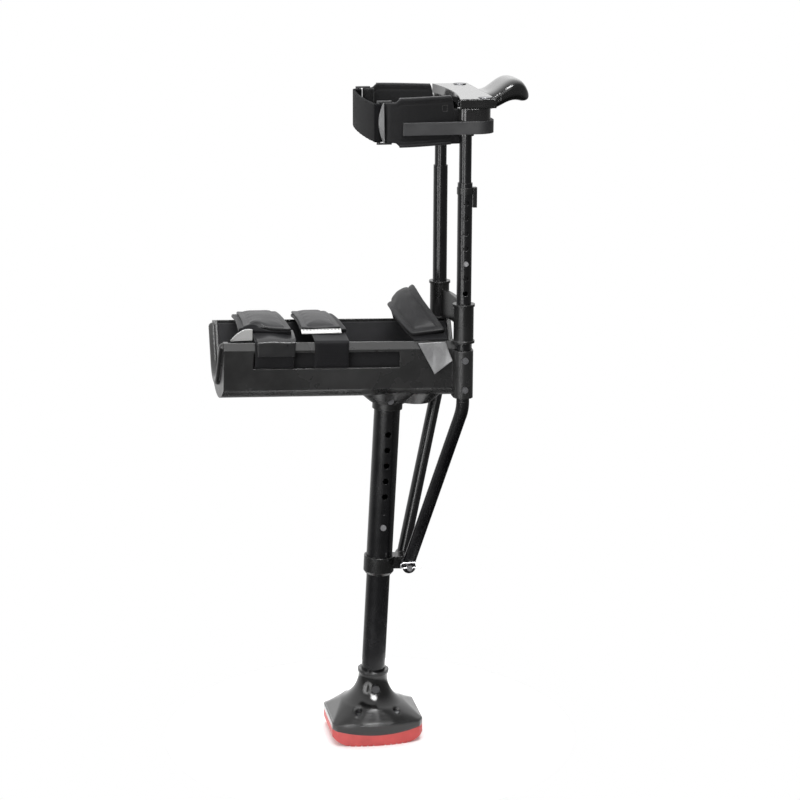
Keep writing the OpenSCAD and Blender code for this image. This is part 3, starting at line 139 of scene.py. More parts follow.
# %% A rounded profile and its closed skin
def outline(side_steps, corner_steps):
    """The unit outline of a rounded rectangle: for each point the place of its corner's centre, from -1 to 1
    across and through, and the direction from that centre to the point."""
    quarter = np.linspace(0, math.pi / 2, corner_steps)
    turns = np.concatenate([quarter + k * math.pi / 2 for k in range(4)])
    corner_x = np.repeat([1, -1, -1, 1], corner_steps).astype(float)
    corner_z = np.repeat([1, 1, -1, -1], corner_steps).astype(float)
    shape = np.stack([corner_x, corner_z, np.cos(turns), np.sin(turns)], axis=-1)
    share = np.linspace(0, 1, side_steps + 2)[1:-1, None]
    top = shape[corner_steps - 1] * (1 - share) + shape[corner_steps] * share
    low = shape[3 * corner_steps - 1] * (1 - share) + shape[3 * corner_steps] * share
    return np.concatenate([shape[:corner_steps], top, shape[corner_steps:3 * corner_steps], low,
                           shape[3 * corner_steps:]])


def carried(line, across, out, wide, low, high, corner, shape):
    """Rings of a rounded rectangle carried along a line: each ring is as wide as wide, and lies from low to
    high along the outward direction. One direction or size may stand for all rings."""
    across, out = (np.broadcast_to(way, line.shape)[:, None] for way in (across, out))
    sizes = (np.asarray(size, float) for size in (wide, low, high, corner))
    wide, low, high, corner = (np.broadcast_to(size, (len(line),))[:, None] for size in sizes)
    corner = np.minimum(corner, np.minimum(wide, high - low) / 2)
    side = shape[:, 0] * (wide / 2 - corner) + shape[:, 2] * corner
    rise = (low + high) / 2 + shape[:, 1] * ((high - low) / 2 - corner) + shape[:, 3] * corner
    return line[:, None] + across * side[..., None] + out * rise[..., None]


def put(name, data):
    """A new object in the scene that holds a mesh, a lamp or a camera."""
    made = bpy.data.objects.new(name, data)
    bpy.context.scene.collection.objects.link(made)
    return made


def joined(count, around):
    """The point numbers of a grid of rings, those of the next points round, and the quads between."""
    grid = np.arange(count * around).reshape(count, around)
    after = np.roll(grid, -1, axis=1)
    return grid, after, np.stack([grid[:-1], after[:-1], after[1:], grid[1:]], axis=-1).reshape(-1, 4)


def skin(name, rings):
    """Joins rings of points, in millimetres, by quads and closes both ends with a fan of triangles.
    The UV map holds metres of cloth: the way round the ring, and the way along the rings."""
    count, around, _ = rings.shape
    grid, after, quads = joined(count, around)
    first = np.stack([after[0], grid[0], np.full(around, grid.size)], axis=-1)
    final = np.stack([grid[-1], after[-1], np.full(around, grid.size + 1)], axis=-1)
    points = np.concatenate([rings.reshape(-1, 3), rings[[0, -1]].mean(axis=1)]) * MM
    mesh = bpy.data.meshes.new(name)
    mesh.from_pydata(points.tolist(), [], quads.tolist() + first.tolist() + final.tolist())
    closed = np.concatenate([rings, rings[:, :1]], axis=1) * MM
    across = np.linalg.norm(np.diff(closed, axis=1), axis=2).mean(axis=0)
    across = np.concatenate([[0], np.cumsum(across)])
    along = travelled(rings.mean(axis=1)) * MM
    quad_u = np.tile(np.stack([across[:-1], across[1:], across[1:], across[:-1]], axis=-1), (count - 1, 1))
    quad_v = np.repeat(np.stack([along[:-1], along[:-1], along[1:], along[1:]], axis=-1), around, axis=0)
    fan_u = np.stack([across[1:], across[:-1], np.full(around, across.mean())], axis=-1)
    u = np.concatenate([quad_u.ravel(), fan_u.ravel(), fan_u[:, [1, 0, 2]].ravel()])
    v = np.concatenate([quad_v.ravel(), np.full(3 * around, along[0]), np.full(3 * around, along[-1])])
    layer = mesh.uv_layers.new(name="cloth")
    layer.data.foreach_set("uv", np.stack([u, v], axis=-1).ravel())
    a, b, c, d = (points[quads[:, k]] for k in range(4))
    volume = (np.cross(b - a, d - a) * a).sum() + (np.cross(d - c, b - c) * c).sum()
    if volume < 0:
        mesh.flip_normals()
    mesh.polygons.foreach_set("use_smooth", np.ones(len(mesh.polygons), bool))
    mesh.validate()
    return put(name, mesh)


# %% [markdown]
# ## Stitches
# A sewn seam shows as a row of short threads that dip into the cloth. A bump pattern would do from afar, but
# it fades at the edge of a pad. So each stitch is a small spindle, and one array holds a whole seam.

# %% Rows of stitches
STATIONS = 5
SIDES = 6
BLUNT = 1.05
LOOK_AHEAD = 0.2


def stitches(name, line, lift, length=3.2, gap=1.3, thread=0.42):
    """Spindles along a line: thick in the middle, pointed at the ends, turned along the line and half sunk
    into what they sew. Lift is the outward direction, one for all points or one for each."""
    far = travelled(line)
    places = np.arange(length / 2 + gap, far[-1] - length / 2, length + gap)
    middle = at(places, far, line)
    lift = unit(at(places, far, np.broadcast_to(lift, line.shape)))
    ahead = at(places + LOOK_AHEAD, far, line) - middle
    ahead = unit(ahead - lift * (ahead * lift).sum(axis=1, keepdims=True))
    station = np.linspace(-1, 1, STATIONS)
    turn = np.arange(SIDES) * 2 * math.pi / SIDES
    thick = thread * np.sqrt(BLUNT - station ** 2)
    local = xyz(np.repeat(station * length / 2, SIDES), np.outer(thick, np.cos(turn)).ravel(),
                np.outer(thick, np.sin(turn)).ravel())
    basis = np.stack([ahead, np.cross(lift, ahead), lift], axis=1)
    points = (middle[:, None] + local @ basis).reshape(-1, 3)
    grid, _, quads = joined(STATIONS, SIDES)
    begin = np.arange(len(places))[:, None, None] * len(local)
    faces = (quads[None] + begin).reshape(-1, 4)
    ends = (np.stack([grid[0, ::-1], grid[-1]])[None] + begin).reshape(-1, SIDES)
    mesh = bpy.data.meshes.new(name)
    mesh.from_pydata((points * MM).tolist(), [], faces.tolist() + ends.tolist())
    mesh.polygons.foreach_set("use_smooth", np.ones(len(mesh.polygons), bool))
    return put(name, mesh)


print("shape helpers ready")

# %% [markdown]
# ## Nodes for the finishes
# All finishes are built from the same few shader nodes: a coordinate, a noise or a weave, a ramp that turns
# it into colour or roughness, and a bump. One helper makes a node and sets or links its sockets by name.

# %% Small helpers for shader nodes
def add(tree, kind, inputs=None, **settings):
    """A shader node of one kind with its settings, and its sockets set or linked by name or number."""
    made = tree.nodes.new("ShaderNode" + kind)
    for key, value in settings.items():
        setattr(made, key, value)
    for key, value in (inputs or {}).items():
        if isinstance(value, bpy.types.NodeSocket):
            tree.links.new(value, made.inputs[key])
        else:
            made.inputs[key].default_value = value
    return made


def tone(red_and_green, blue):
    """A grey in thousandths, with its blue given apart."""
    return (red_and_green / 1000, red_and_green / 1000, blue / 1000)


def noise(tree, where, scale, detail=3.0, rough=0.5):
    """Soft noise whose size is one metre divided by scale."""
    inputs = {"Vector": where, "Scale": scale, "Detail": detail, "Roughness": rough}
    return add(tree, "TexNoise", inputs).outputs["Fac"]


def ramp(tree, source, low, high, from_share=0.3, to_share=0.7):
    """Turns a value into a number between low and high, as it goes from one share to the other."""
    return add(tree, "MapRange", {"Value": source, "From Min": from_share, "From Max": to_share,
                                  "To Min": low, "To Max": high}).outputs["Result"]


def shades(tree, source, dark, light, from_share=0.3, to_share=0.7):
    """Turns a value into a colour between dark and light."""
    made = add(tree, "ValToRGB", {"Fac": source})
    for end, share, colour in zip(made.color_ramp.elements, (from_share, to_share), (dark, light)):
        end.position = share
        end.color = (*colour, 1)
    return made.outputs["Color"]


def math_node(tree, kind, a, b=0.0):
    """One sum on two values."""
    return add(tree, "Math", {0: a, 1: b}, operation=kind).outputs[0]


def bump(tree, height, depth, under=None):
    """A bump whose full height is depth in metres, on top of another normal where one is given."""
    inputs = {"Height": height, "Distance": depth, "Strength": 1.0}
    if under is not None:
        inputs["Normal"] = under
    return add(tree, "Bump", inputs).outputs["Normal"]


def finish(name, **sockets):
    """A new finish, its tree, its shader with the even values set on its own sockets, and the coordinate."""
    material = bpy.data.materials.new(name)
    material.use_nodes = True
    tree = material.node_tree
    shader = tree.nodes["Principled BSDF"]
    for key, value in sockets.items():
        shader.inputs[key.replace("_", " ")].default_value = value
    return material, tree, shader, add(tree, "TexCoord").outputs["Object"]


def wire(tree, shader, **sources):
    """Links sources to the shader's sockets by name."""
    for key, source in sources.items():
        tree.links.new(source, shader.inputs[key.replace("_", " ")])


def worn_edge(tree, radius):
    """The rounded normal near edges, and a mask that is 1 on an edge: how far that normal turns away."""
    soft = add(tree, "Bevel", {"Radius": radius}, samples=4).outputs["Normal"]
    flat = add(tree, "NewGeometry").outputs["Normal"]
    turned = add(tree, "VectorMath", {0: soft, 1: flat}, operation="DOT_PRODUCT").outputs["Value"]
    return soft, ramp(tree, turned, 1.0, 0.0, 0.70, 0.96)


def rub(tree, edge, share, colour, pale):
    """A colour that turns paler on the edges, by a share of the edge mask."""
    share = math_node(tree, "MULTIPLY", edge, share)
    return add(tree, "Mix", {0: share, 6: colour, 7: (*pale, 1)}, data_type="RGBA").outputs[2]


def weave(tree, pitch_across, pitch_along):
    """Plain weave on the cloth's own map: threads that rise and dip in turn, the product of two sines."""
    where = add(tree, "UVMap", uv_map="cloth").outputs["UV"]
    parts = add(tree, "SeparateXYZ", {"Vector": where}).outputs
    waves = [math_node(tree, "SINE", math_node(tree, "MULTIPLY", parts[axis], math.pi / pitch))
             for axis, pitch in (("X", pitch_across), ("Y", pitch_along))]
    return ramp(tree, math_node(tree, "MULTIPLY", *waves), 0.0, 1.0, -1.0, 1.0)


print("node helpers ready")

# %% [markdown]
# ## Coated and moulded finishes
# The tubes have a black powder coat, and the tray, the cuff arm and the sole are moulded. All share one
# recipe: clouds of colour, edges that are rubbed paler, and a fine grain. A plain black would do in shadow,
# but white surroundings show every ripple, so each one gets its own grain.

# %% Coat, mouldings and rubber
def moulded(name, radius, clouds, dark, light, pale, rubbed, rough, grain, depth, **sockets):
    """Slow noise between two colours, which also changes the roughness, edges rubbed paler, and a fine noise
    as bump. Rubbed is one share for all edges, or the noise and the ramp that break them up."""
    material, tree, shader, where = finish(name, **sockets)
    soft, edge = worn_edge(tree, radius)
    cloud = noise(tree, where, *clouds)
    if isinstance(rubbed, tuple):
        rubbed = ramp(tree, noise(tree, where, rubbed[0]), *rubbed[1:])
    wire(tree, shader, Base_Color=rub(tree, edge, rubbed, shades(tree, cloud, dark, light), pale),
         Roughness=ramp(tree, cloud, *rough), Normal=bump(tree, noise(tree, where, *grain), depth, soft))
    if "Coat_Weight" in sockets:
        wire(tree, shader, Coat_Normal=soft)
    return material


def sparked_black(name, dark, light):
    """Satin black with the fine grain of a spark-eroded mould, and edges polished lighter by handling."""
    return moulded(name, 1.4 * MM, (18.0, 5.0, 0.6), tone(dark, dark), tone(light, light), tone(100, 102),
                   (120.0, 0.15, 0.8, 0.4, 0.65), (0.22, 0.32), (1900.0, 3.0, 0.7), 0.014 * MM, IOR=1.5)


powder_coat = moulded("powder_coat", 0.6 * MM, (35.0, 5.0, 0.6), tone(4, 5), tone(9, 10), tone(100, 105),
                      (220.0, 0.0, 0.8, 0.45, 0.6), (0.20, 0.30), (1500.0, 2.0), 0.002 * MM,
                      Specular_IOR_Level=0.30, Coat_Weight=0.30, Coat_Roughness=0.15)
grey_moulding = moulded("grey_moulding", 1.0 * MM, (40.0, 4.0), tone(23, 25), tone(37, 39), tone(140, 145),
                        0.6, (0.42, 0.55), (1600.0, 2.0), 0.012 * MM, IOR=1.48)
red_rubber = moulded("red_rubber", 1.0 * MM, (45.0, 5.0, 0.6), (0.44, 0.040, 0.038), (0.58, 0.064, 0.060),
                     (0.74, 0.16, 0.14), 0.45, (0.50, 0.68), (1100.0, 4.0, 0.7), 0.05 * MM,
                     IOR=1.5, Sheen_Weight=0.15)
print("coat, mouldings and rubber ready")

# %% [markdown]
# ## Gloss and plate
# The foot, yoke, handle and grip are polished mouldings. Their gloss follows the rounded edges and the faint
# ripples of the mould. The metal parts are plated steel with fine turning marks.

# %% Polished and plated finishes
def polished_black(name, radius, dark, light):
    """Deep black under a clear gloss, with faint ripples from the mould and hair scratches in the gloss."""
    material, tree, shader, where = finish(name, Specular_IOR_Level=0.2, Coat_Weight=0.9,
                                           Coat_Roughness=0.08)
    soft, edge = worn_edge(tree, radius)
    black = shades(tree, noise(tree, where, 22.0, 4.0, 0.55), tone(dark, dark), tone(light, light))
    handled = ramp(tree, noise(tree, where, 160.0), 0.0, 0.6, 0.5, 0.65)
    drawn = add(tree, "Mapping", {"Vector": where, "Scale": (60.0, 1400.0, 900.0)}).outputs["Vector"]
    scratch = ramp(tree, noise(tree, drawn, 1.0, 2.0, 0.4), 0.16, 0.27, 0.4, 0.75)
    ripple = bump(tree, noise(tree, where, 16.0, 1.0), 0.12 * MM, soft)
    wire(tree, shader, Base_Color=rub(tree, edge, handled, black, tone(60, 63)), Roughness=scratch,
         Normal=ripple, Coat_Normal=ripple)
    return material


def plated(name, dark, light, smooth, dull):
    """Plated steel: fine turning marks in the roughness, a slightly blotched colour and a very low bump."""
    material, tree, shader, where = finish(name, Metallic=1.0)
    drawn = add(tree, "Mapping", {"Vector": where, "Scale": (2500.0, 300.0, 2500.0)}).outputs["Vector"]
    marks = noise(tree, drawn, 1.0)
    wire(tree, shader, Base_Color=shades(tree, noise(tree, where, 300.0, 4.0, 0.6), dark, light),
         Roughness=ramp(tree, marks, smooth, dull), Normal=bump(tree, marks, 0.01 * MM))
    return material


# %% [markdown]
# ## Dressing the solids
# Each solid gets the finish of its slot. Three have their own: the tray's black moulding is coloured
# paler than the small parts', a painted light on its wall; the foot is darker and has rounder edges, and
# its bolt is blackened.

# %% Give the solids their finishes
finishes = {
    "painted_tube": powder_coat,
    "gloss_plastic": polished_black("polished_black", 2.4 * MM, 10, 19),
    "matte_plastic": sparked_black("small_mouldings", 7, 14),
    "grey_plastic": grey_moulding,
    "red_rubber": red_rubber,
    "steel": plated("zinc_plate", tone(240, 250), tone(380, 395), 0.24, 0.40),
    "bright_steel": plated("bright_plate", tone(660, 680), tone(800, 820), 0.24, 0.36),
}
own_finish = {
    # painted light: the tray's copy of the black moulding is paler than the small parts', for the light on
    # its wall
    "knee_tray": sparked_black("tray_moulding_painted_light", 20, 34),
    "foot_shell": polished_black("foot_gloss", 6.0 * MM, 3, 8),
    "foot_bolt": plated("black_plate", tone(50, 52), tone(90, 94), 0.24, 0.40),
}
slot_of = {part["node"]: part["material_slot"] for part in frame["record"]["subparts"]}
for name, solid in nodes.items():
    material = own_finish.get(name, finishes.get(slot_of[name]))
    if material:
        solid.data.materials.clear()
        solid.data.materials.append(material)
print("hard finishes:", len(finishes) + len(own_finish))

# %% [markdown]
# ## Cloth
# The straps are woven nylon, the thigh band is a cloth bonded to thin foam, the trough liner has a knitted
# cover. Threads follow the cloth's own map, so they bend with the strap; noise in space only adds the slow
# changes of colour. Pitches and depths are in millimetres.

# %% Woven, knitted and bonded cloth
def cloth(name, dark, light, pitch_across, pitch_along, depth, dull, sheen, shine=0.12):
    """Cloth of one weave: the rising threads are painted paler and the dips darker, a painted shade, and
    they lift the bump; slow noise fades the colour, and fuzz breaks up colour, roughness and bump."""
    material, tree, shader, where = finish(name, IOR=1.45, Specular_IOR_Level=shine, Sheen_Weight=sheen)
    threads = weave(tree, pitch_across * MM, pitch_along * MM)
    faded = ramp(tree, noise(tree, where, 28.0, 5.0, 0.6), 0.55, 1.0)
    fuzz = noise(tree, where, 2200.0, 3.0, 0.7)
    # painted shade: the pale colour follows the rise of the threads, so the dips of the weave are darker
    threads_lit_and_faded = math_node(tree, "MULTIPLY", threads, faded)
    threads_lit_and_faded = math_node(tree, "MULTIPLY", threads_lit_and_faded, ramp(tree, fuzz, 0.7, 1.15))
    height = math_node(tree, "ADD", threads, math_node(tree, "MULTIPLY", fuzz, 0.35))
    wire(tree, shader, Base_Color=shades(tree, threads_lit_and_faded, dark, light, 0.0, 1.0),
         Roughness=ramp(tree, fuzz, dull - 0.06, dull + 0.06), Normal=bump(tree, height, depth * MM))
    return material


pad_cover = cloth("knitted_cover", tone(7, 8), tone(26, 28), 1.1, 1.4, 0.22, 0.78, 0.12)
nylon = cloth("woven_nylon", tone(3, 4), tone(12, 14), 1.3, 2.0, 0.25, 0.52, 0.12)
elastic = cloth("ribbed_elastic", tone(3, 4), tone(11, 12), 2.2, 0.9, 0.20, 0.62, 0.03, 0.04)
bonded = cloth("bonded_cloth", tone(8, 9), tone(28, 29), 0.8, 0.8, 0.10, 0.64, 0.12)
# painted highlight: the binding tape is real, but its paler tone stands for the light along the panel's
# edges
binding = cloth("edge_binding_and_highlight", tone(16, 17), tone(55, 58), 0.9, 0.6, 0.12, 0.55, 0.3)
felt = cloth("pale_lining", tone(520, 510), tone(800, 790), 1.6, 1.6, 0.30, 0.9, 0.6)
thread_grey = cloth("grey_thread", tone(100, 100), tone(200, 200), 0.5, 0.5, 0.08, 0.6, 0.2)
thread_black = cloth("black_thread", tone(10, 10), tone(28, 30), 0.5, 0.5, 0.08, 0.6, 0.2)
print("cloth ready")

# %% [markdown]
# ## Coated cloth
# The strap pads are a grey coated cloth with a small leather grain. The tapes and the faces of the buckles
# have the same grain, only lower and smoother. Cells with creases between them give it, which a noise could
# not.

# %% Coated cloth with a leather grain
def coated_cloth(name, dark, light, smooth, grain, shine=0.5):
    """Coated cloth: small raised cells with creases between them, painted paler on the crowns and darker in
    the creases as a painted shade, and a dull gloss.
    """
    material, tree, shader, where = finish(name, IOR=1.47, Specular_IOR_Level=shine)
    cells = add(tree, "TexVoronoi", {"Vector": where, "Scale": 620.0}, feature="DISTANCE_TO_EDGE")
    cells = ramp(tree, cells.outputs["Distance"], 0.0, 1.0, 0.02, 0.30)
    fade = noise(tree, where, 30.0, 5.0, 0.6)
    # painted shade: the crowns of the cells are coloured paler and the creases between them darker
    crowns = ramp(tree, cells, 0.75, 1.0, 0.0, 1.0)
    crowns_lit_and_faded = math_node(tree, "MULTIPLY", ramp(tree, fade, 0.6, 1.0), crowns)
    wire(tree, shader, Base_Color=shades(tree, crowns_lit_and_faded, dark, light, 0.45, 1.0),
         Roughness=ramp(tree, fade, smooth, smooth + 0.12), Normal=bump(tree, cells, grain * MM))
    return material


vinyl = coated_cloth("grey_coated_cloth", tone(15, 16), tone(34, 36), 0.38, 0.06, 0.4)
dark_vinyl = coated_cloth("dark_coated_cloth", tone(9, 10), tone(22, 23), 0.46, 0.06, 0.3)
satin = coated_cloth("satin_tape", tone(240, 245), tone(460, 465), 0.22, 0.02)
black_satin = coated_cloth("black_satin_tape", tone(10, 11), tone(22, 23), 0.24, 0.02)
# painted highlight: the buckle faces are far paler than the buckles' grey moulding, partly for the light on
# their lit side
buckle_grey_and_highlight = coated_cloth("buckle_grey_and_highlight", tone(90, 92), tone(200, 203), 0.30, 0.01)
print("coated cloth ready")

# %% [markdown]
# ## Settling a piece
# Every soft piece needs the same last steps, so one call does them. The tray slopes a little to the front,
# and so does all that lies on it: those pieces are drawn level, and are turned here together.

# %% One call for a finished soft piece
TRAY_SLOPE = math.radians(1.5)
TRAY_PIVOT = Vector((-26.0, 0.0, 566.0)) * MM
slope = (Matrix.Translation(TRAY_PIVOT) @ Matrix.Rotation(TRAY_SLOPE, 4, "Y")
         @ Matrix.Translation(-TRAY_PIVOT))


def settle(piece, material, body, slot, *stands_for):
    """Gives a piece its finish, lets it ride on its body, and hides the plain solids that it stands for.
    What rides on the frame lies on the tray, so it takes the tray's slope."""
    if body == "frame":
        piece.data.transform(slope)
    piece.data.materials.append(material)
    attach(piece, body)
    if stands_for:
        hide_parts(*stands_for)
    return piece


def sew(name, line, lift, thread, body, slot, *size):
    """A row of stitches, settled on its body."""
    settle(stitches(name, line, lift, *size), thread, body, slot)


# %% [markdown]
# ## The liner of the trough
# The shin lies on thick foam with a knitted cover, sewn lengthwise where the flanks turn into the round
# bottom. It could be a block with a groove. Here the profile is a long rounded bar across the direction of
# the shin, carried along the trough's own line from rim to rim, so the cover can dip at its two seams.

# %% Trough line and liner
RIM_Z = 566.0
TROUGH_HALF = 62.0
TROUGH_R = 36.0
TROUGH_MID_Z = 542.0
LINER_TOP = RIM_Z - 2
LINER_BACK = -194.6
LINER_FRONT = 115.1
WALL_Y = 65.6
FLOOR_Z = 497.0
BELLY_MID_Z = 608.3
BELLY_R = 119.6
FOAM_MOST = 24.0
LEAST_SLANT = 0.05
SMOOTHED = 3
CORNER_X = 92.0
CORNER_Y = 62.6
CORNER_EASE = 6.0
CORNER_LOW_Z = 480.0
CORNER_RISE = 10.0
reach = math.hypot(TROUGH_HALF, RIM_Z - TROUGH_MID_Z)
flank_turn = math.atan2(RIM_Z - TROUGH_MID_Z, TROUGH_HALF) - math.acos(TROUGH_R / reach)
flank_y = TROUGH_R * math.cos(flank_turn)
flank_z = TROUGH_MID_Z + TROUGH_R * math.sin(flank_turn)
top_share = (LINER_TOP - flank_z) / (RIM_Z - flank_z)
top_y = flank_y + (TROUGH_HALF - flank_y) * top_share
bottom = np.linspace(-math.pi - flank_turn, flank_turn, 40)
trough_y = np.concatenate([[-top_y], TROUGH_R * np.cos(bottom), [top_y]])
trough_z = np.concatenate([[LINER_TOP], TROUGH_MID_Z + TROUGH_R * np.sin(bottom), [LINER_TOP]])
trough_line = even(xyz(0.0, trough_y, trough_z), 2.0)
trough_in = np.cross(ALONG_X, heading(trough_line))
down = -trough_in
to_wall = (WALL_Y - np.abs(trough_line[:, 1])) / np.maximum(np.abs(down[:, 1]), LEAST_SLANT)
to_floor = (trough_line[:, 2] - FLOOR_Z) / np.maximum(-down[:, 2], LEAST_SLANT)
from_mid = trough_line - UP * BELLY_MID_Z
along_down = (from_mid * down).sum(axis=1)
under_root = along_down ** 2 - (from_mid ** 2).sum(axis=1) + BELLY_R ** 2
to_belly = -along_down + np.sqrt(np.maximum(under_root, 0))
foam = np.minimum(np.minimum(to_wall, to_floor), np.minimum(to_belly, FOAM_MOST))
window = 2 * SMOOTHED + 1
foam = np.convolve(np.pad(foam, SMOOTHED, mode="edge"), np.ones(window) / window, mode="valid")
dip = 1.2 * hill(np.abs(trough_line[:, 1]) - flank_y, 1.6)
crown = 0.8 * np.sin(np.linspace(0, 3 * math.pi, len(trough_line))) ** 2
liner_mid = trough_line + ALONG_X * (LINER_BACK + LINER_FRONT) / 2
liner_rings = carried(liner_mid, ALONG_X, trough_in, LINER_FRONT - LINER_BACK, -foam, crown - dip, 2.4,
                      outline(60, 5))
past = np.clip((liner_rings[..., 0] - CORNER_X + CORNER_EASE) / CORNER_EASE, 0, 1)
high = np.clip((liner_rings[..., 2] - CORNER_LOW_Z) / CORNER_RISE, 0, 1)
liner_limit = WALL_Y + (CORNER_Y - WALL_Y) * past * high
liner_rings[..., 1] = np.clip(liner_rings[..., 1], -liner_limit, liner_limit)
liner = settle(skin("trough_liner", liner_rings), pad_cover, "frame", "pad_cloth", "knee_pad")
seam_x = np.linspace(LINER_BACK + 3, LINER_FRONT - 3, 150)
for side, word in ((-1, "right"), (1, "left")):
    lift = np.array([0, -side * math.cos(flank_turn), -math.sin(flank_turn)])
    seam = xyz(seam_x, side * flank_y, flank_z) - lift * 0.5
    sew("liner_seam_" + word, seam, lift, thread_black, "frame", "pad_cloth")
print("liner", len(trough_line), "steps across")

# %% [markdown]
# ## Straps round the rails
# Two straps run over the trough. Each goes over the rail, down the outside, in through the window and up to
# where it is sewn to itself. A strip bent with a modifier would crease at the rail, so the strap's line is
# drawn in the plane across the tray, with small round corners, and a flat profile is carried along it.

# %% Strap loops
WEB_T = 2.0
OUT_Y = 74.4
IN_Y = 67.6
LOW_Z = 533.4
OVER_Z = 567.4
ARCH = 5.0
ARCH_HALF = 73.0
SPAN_HALF = 66.0
SEWN_BELOW = 3.4
TURN_R = 2.2


def rounded_corner(points, radius, steps=6):
    """The line through the points, with each inner corner replaced by a small round."""
    before = unit(points[1:-1] - points[:-2])
    after = unit(points[2:] - points[1:-1])
    share = np.linspace(0, 1, steps)[None, :, None]
    start = (points[1:-1] - before * radius)[:, None]
    end = (points[1:-1] + after * radius)[:, None]
    corner = points[1:-1][:, None]
    curve = start * (1 - share) ** 2 + corner * 2 * share * (1 - share) + end * share ** 2
    return np.concatenate([points[:1], curve.reshape(-1, 3), points[-1:]])


def arched(x, y, lift=0.0):
    """Points on the arch of the straps over the trough, at the places y across it."""
    return xyz(x, y, OVER_Z + ARCH * (1 - (y / ARCH_HALF) ** 2) + lift)


def strap_line(x):
    """Middle line of a looped strap: up inside the left rail, out through the window, over the trough, and
    the same on the right."""
    over = arched(x, np.linspace(SPAN_HALF, -SPAN_HALF, 25))
    left = xyz(x, [IN_Y, IN_Y, OUT_Y, OUT_Y], [OVER_Z - SEWN_BELOW, LOW_Z, LOW_Z, OVER_Z])
    right = left[::-1] * np.array([1, -1, 1])
    left_turn = rounded_corner(np.concatenate([left, over[:1]]), TURN_R)
    right_turn = rounded_corner(np.concatenate([over[-1:], right]), TURN_R)
    return even(np.concatenate([left_turn, over[1:-1], right_turn]), 1.5)


def looped_strap(name, x, wide, node):
    """A flat woven strap along its loop, with rounded selvedges and a width that flutters a little."""
    line = strap_line(x)
    flutter = 0.35 * np.sin(np.linspace(0, 9 * math.pi, len(line)))
    rings = carried(line, ALONG_X, np.cross(heading(line), ALONG_X), wide + flutter, -WEB_T / 2, WEB_T / 2,
                    0.9, outline(8, 4))
    piece = settle(skin(name, rings), nylon, "frame", "webbing", node)
    length = travelled(line)[-1]
    return length


rear_length = looped_strap("rear_strap", -136.0, 50.0, "rear_strap_webbing")
front_length = looped_strap("front_strap", -62.0, 44.0, "front_strap_webbing")
print("straps", round(rear_length), "and", round(front_length), "mm long")

# %% [markdown]
# ## Strap pads
# Each strap carries a stuffed pad: a grey coated top with a sewn border, on a black backing that shows as a
# dark line round the edge. A subdivided box would give a pillow, but the real pad is thin at the border and
# full only inside the seam. So the top is a formula: a border, a sewn dip, and a crown along the arch.

# %% Pads on the two straps
PAD_HALF = 71.0
PAD_NEAR = 42.0
PAD_LOW = 568.8
PAD_WAIST = 2.6
BACKING_LOW = 0.1
BACKING_HIGH = 4.7
COVER_LOW = 4.8
COVER_HIGH = 8.2
BORDER = 5.5
SEAM_DIP = 0.9
SEAM_W = 1.2
SEAM_H = 7.4
END_ROUND = 1.6


def stuffed(shape, wide, edge, swell, fade):
    """For each point of the rings: its place across, its way in from the border, 1 where it is on the top,
    the rise of the stuffing, which comes up to the swell over the way of fade, and the dip at the seam."""
    place = shape[:, 0][None, :]
    inset = np.minimum((1 - np.abs(place)) * wide[:, None] / 2, edge[:, None])
    full = swell * (1 - np.exp(-np.maximum(inset - BORDER, 0) / fade))
    return place, inset, np.clip(shape[:, 1], 0, 1)[None, :], full, SEAM_DIP * hill(inset - BORDER, SEAM_W)


